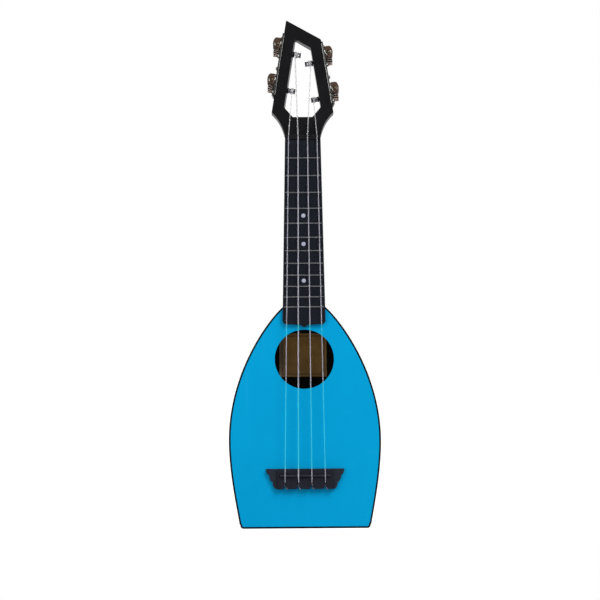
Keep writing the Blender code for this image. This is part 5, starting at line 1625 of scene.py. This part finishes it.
def make_post(index):
    """Shaft through the rail; the roller has flared ends, a hole for the string, a dark cap and ring."""
    letter = STRINGS[index]
    body = f"tuner_post_{letter}"
    _, _, place = post_axis(index)
    wall = RAIL_WIDTH + POST_GAP
    tip = wall + ROLLER_LENGTH
    rim = tip - CAP_THICKNESS
    flare = wall + FLANGE * FLANGE_FOOT
    gear_face = OUTBOARD - GEAR_THICKNESS / 2 - FIT_GAP
    outer_end = OUTBOARD + GEAR_THICKNESS / 2 - PLAY
    collar = -PLATE_FACE - PLAY
    near_plate, near_gear = COLLAR_TAPER
    profile = [
        (0, rim), (ROLLER_RADIUS, rim), (ROLLER_RADIUS, tip - FLANGE * FLANGE_NECK), (ROLLER_RADIUS, flare),
        (FLANGE_RADIUS, wall + FLANGE), (FLANGE_RADIUS, wall), (SHAFT_RADIUS, wall), (SHAFT_RADIUS, collar),
        (COLLAR_RADIUS, collar), (COLLAR_RADIUS * near_plate, -PLATE_FACE - FIT_GAP),
        (COLLAR_RADIUS * near_gear, -gear_face), (SHAFT_RADIUS, -gear_face),
        (SHAFT_RADIUS, -outer_end), (0, -outer_end),
    ]
    hole_radius, from_tip = ROLLER_HOLE
    height = tip - from_tip
    hole = rod((-OUTBOARD, 0, height), (OUTBOARD, 0, height), hole_radius, 24)
    bm = combined(turned(profile, 56, POST_EDGE), [hole])
    make_piece(f"roller_{letter}", bm, "roller", body, [f"string_post_{letter}"], place)
    cap = [
        (0, tip), (FLANGE_RADIUS - CAP_EDGE, tip), (FLANGE_RADIUS, tip - CAP_EDGE), (FLANGE_RADIUS, rim),
        (0, rim),
    ]
    make_piece(f"roller_cap_{letter}", turned(cap, 56, CAP_ROUND), "dark", body, place=place)
    inside, outside = ROLLER_RADIUS - 2 * PLAY, FLANGE_RADIUS + PLAY
    ring = [(inside, flare), (outside, wall + FLANGE), (outside, wall), (inside, wall), (inside, flare)]
    make_piece(f"roller_ring_{letter}", turned(ring, 56, RING_EDGE, 2), "dark", body, place=place)


def make_plate_screws():
    """Domed heads with a cross recess, each turned a little differently."""
    low, high = CROSS_HEIGHTS
    for side, word in SIDES:
        for order, height in enumerate(PLATE_SCREWS, start=1):
            head = rail_frame(side, STATIONS[side] + height)
            point = head @ Vector((side * (PLATE_FACE + PLAY), 0, 0))
            place = aim(point, head.to_3x3() @ Vector((side, 0, 0))) @ Matrix.Rotation(0.5 + order, 4, "Z")
            cross = [
                block((-x, -y, low), (x, y, high))
                for x, y in ((CROSS_LENGTH, CROSS_WIDTH), (CROSS_WIDTH, CROSS_LENGTH))
            ]
            bm = combined(turned(PLATE_SCREW, 40, PLATE_SCREW_EDGE), cross)
            name = f"{word}_{order}"
            make_piece(f"cross_screw_{name}", bm, "screw", nodes=[f"plate_screw_{name}"], place=place)


def make_tuners():
    make_plates()
    make_plate_screws()
    for index in range(4):
        make_bracket(index)
        make_worm(index)
        make_button(index)
        make_gear(index)
        make_post(index)


# Studio

def make_camera():
    data = bpy.data.cameras.new("camera")
    data.lens = LENS
    data.sensor_width = SENSOR
    data.clip_start, data.clip_end = CAMERA_SEES
    camera = put_in_scene("camera", data)
    level = Matrix.Translation(CAMERA_PLACE) @ Matrix.Rotation(math.pi / 2, 4, "X")
    camera.matrix_world = level @ Matrix.Rotation(-CAMERA_ROLL, 4, "Z")
    bpy.context.scene.camera = camera


def make_world():
    """White to the eye; metal reflects the room, white behind the instrument and dim in front."""
    world = bpy.data.worlds.new("studio")
    world.use_nodes = True
    bpy.context.scene.world = world
    graph = Graph(world.node_tree)
    back = world.node_tree.nodes["Background"]
    path = graph.add("LightPath").outputs
    toward = graph.split(graph.add("TexCoord").outputs["Generated"])["Y"]
    room = graph.spread(toward, -0.35, 0.35, ROOM_BEHIND_CAMERA, 1.0)
    lit = graph.blend(path["Is Glossy Ray"], rgb((AMBIENT,) * 3), room)
    white = graph.math("MAXIMUM", path["Is Camera Ray"], path["Is Transmission Ray"])
    graph.feed(back, "Color", graph.blend(white, lit, rgb(WHITE)))
    back.inputs["Strength"].default_value = 1.0


def make_lamp(name, place, size, watts):
    """A soft square lamp that looks at the instrument's middle."""
    data = bpy.data.lights.new(name, "AREA")
    data.energy = watts
    data.size = size
    lamp = put_in_scene(name, data)
    turn = (MIDDLE - Vector(place)).to_track_quat("-Z", "Y").to_matrix().to_4x4()
    lamp.matrix_world = Matrix.Translation(place) @ turn


def floor_paint():
    """Pale grey, which glows white to the eye and in reflections, and still takes a shadow."""
    material = bpy.data.materials.new("pale floor")
    material.use_nodes = True
    graph = Graph(material.node_tree)
    shader = material.node_tree.nodes["Principled BSDF"]
    shader.inputs["Roughness"].default_value = 0.9
    shader.inputs["Base Color"].default_value = rgb(FLOOR_COLOUR)
    path = graph.add("LightPath").outputs
    seen = graph.math("MAXIMUM", path["Is Camera Ray"], path["Is Glossy Ray"])
    seen = graph.math("MAXIMUM", seen, path["Is Transmission Ray"])
    graph.feed(shader, "Emission Color", rgb(WHITE))
    graph.feed(shader, "Emission Strength", graph.scaled(seen, FLOOR_GLOW))
    return material


def make_floor():
    bm = bmesh.new()
    place = Matrix.Translation((0, FLOOR_MIDDLE, 0))
    bmesh.ops.create_grid(bm, x_segments=1, y_segments=1, size=FLOOR_SIZE, matrix=place)
    mesh = bpy.data.meshes.new("floor")
    bm.to_mesh(mesh)
    bm.free()
    mesh.materials.append(floor_paint())
    put_in_scene("floor", mesh)


def make_studio():
    make_world()
    make_floor()
    make_lamp("key", **KEY_LAMP)
    make_lamp("fill", **FILL_LAMP)
    bpy.context.scene.view_settings.view_transform = "Standard"


def make_ukulele():
    make_shell()
    make_soundboard()
    make_label()
    make_neck()
    make_fretboard()
    make_frets()
    make_dots()
    make_nut()
    make_bridge()
    make_saddle()
    make_strings()
    make_tuners()
    for node in ("rim_lining", "upper_brace", "lower_brace", "bridge_plate"):
        dress(node, "spruce")
    dress("neck_block", "walnut")
    dress("neck_bolt", "steel")


make_camera()
make_studio()
make_ukulele()
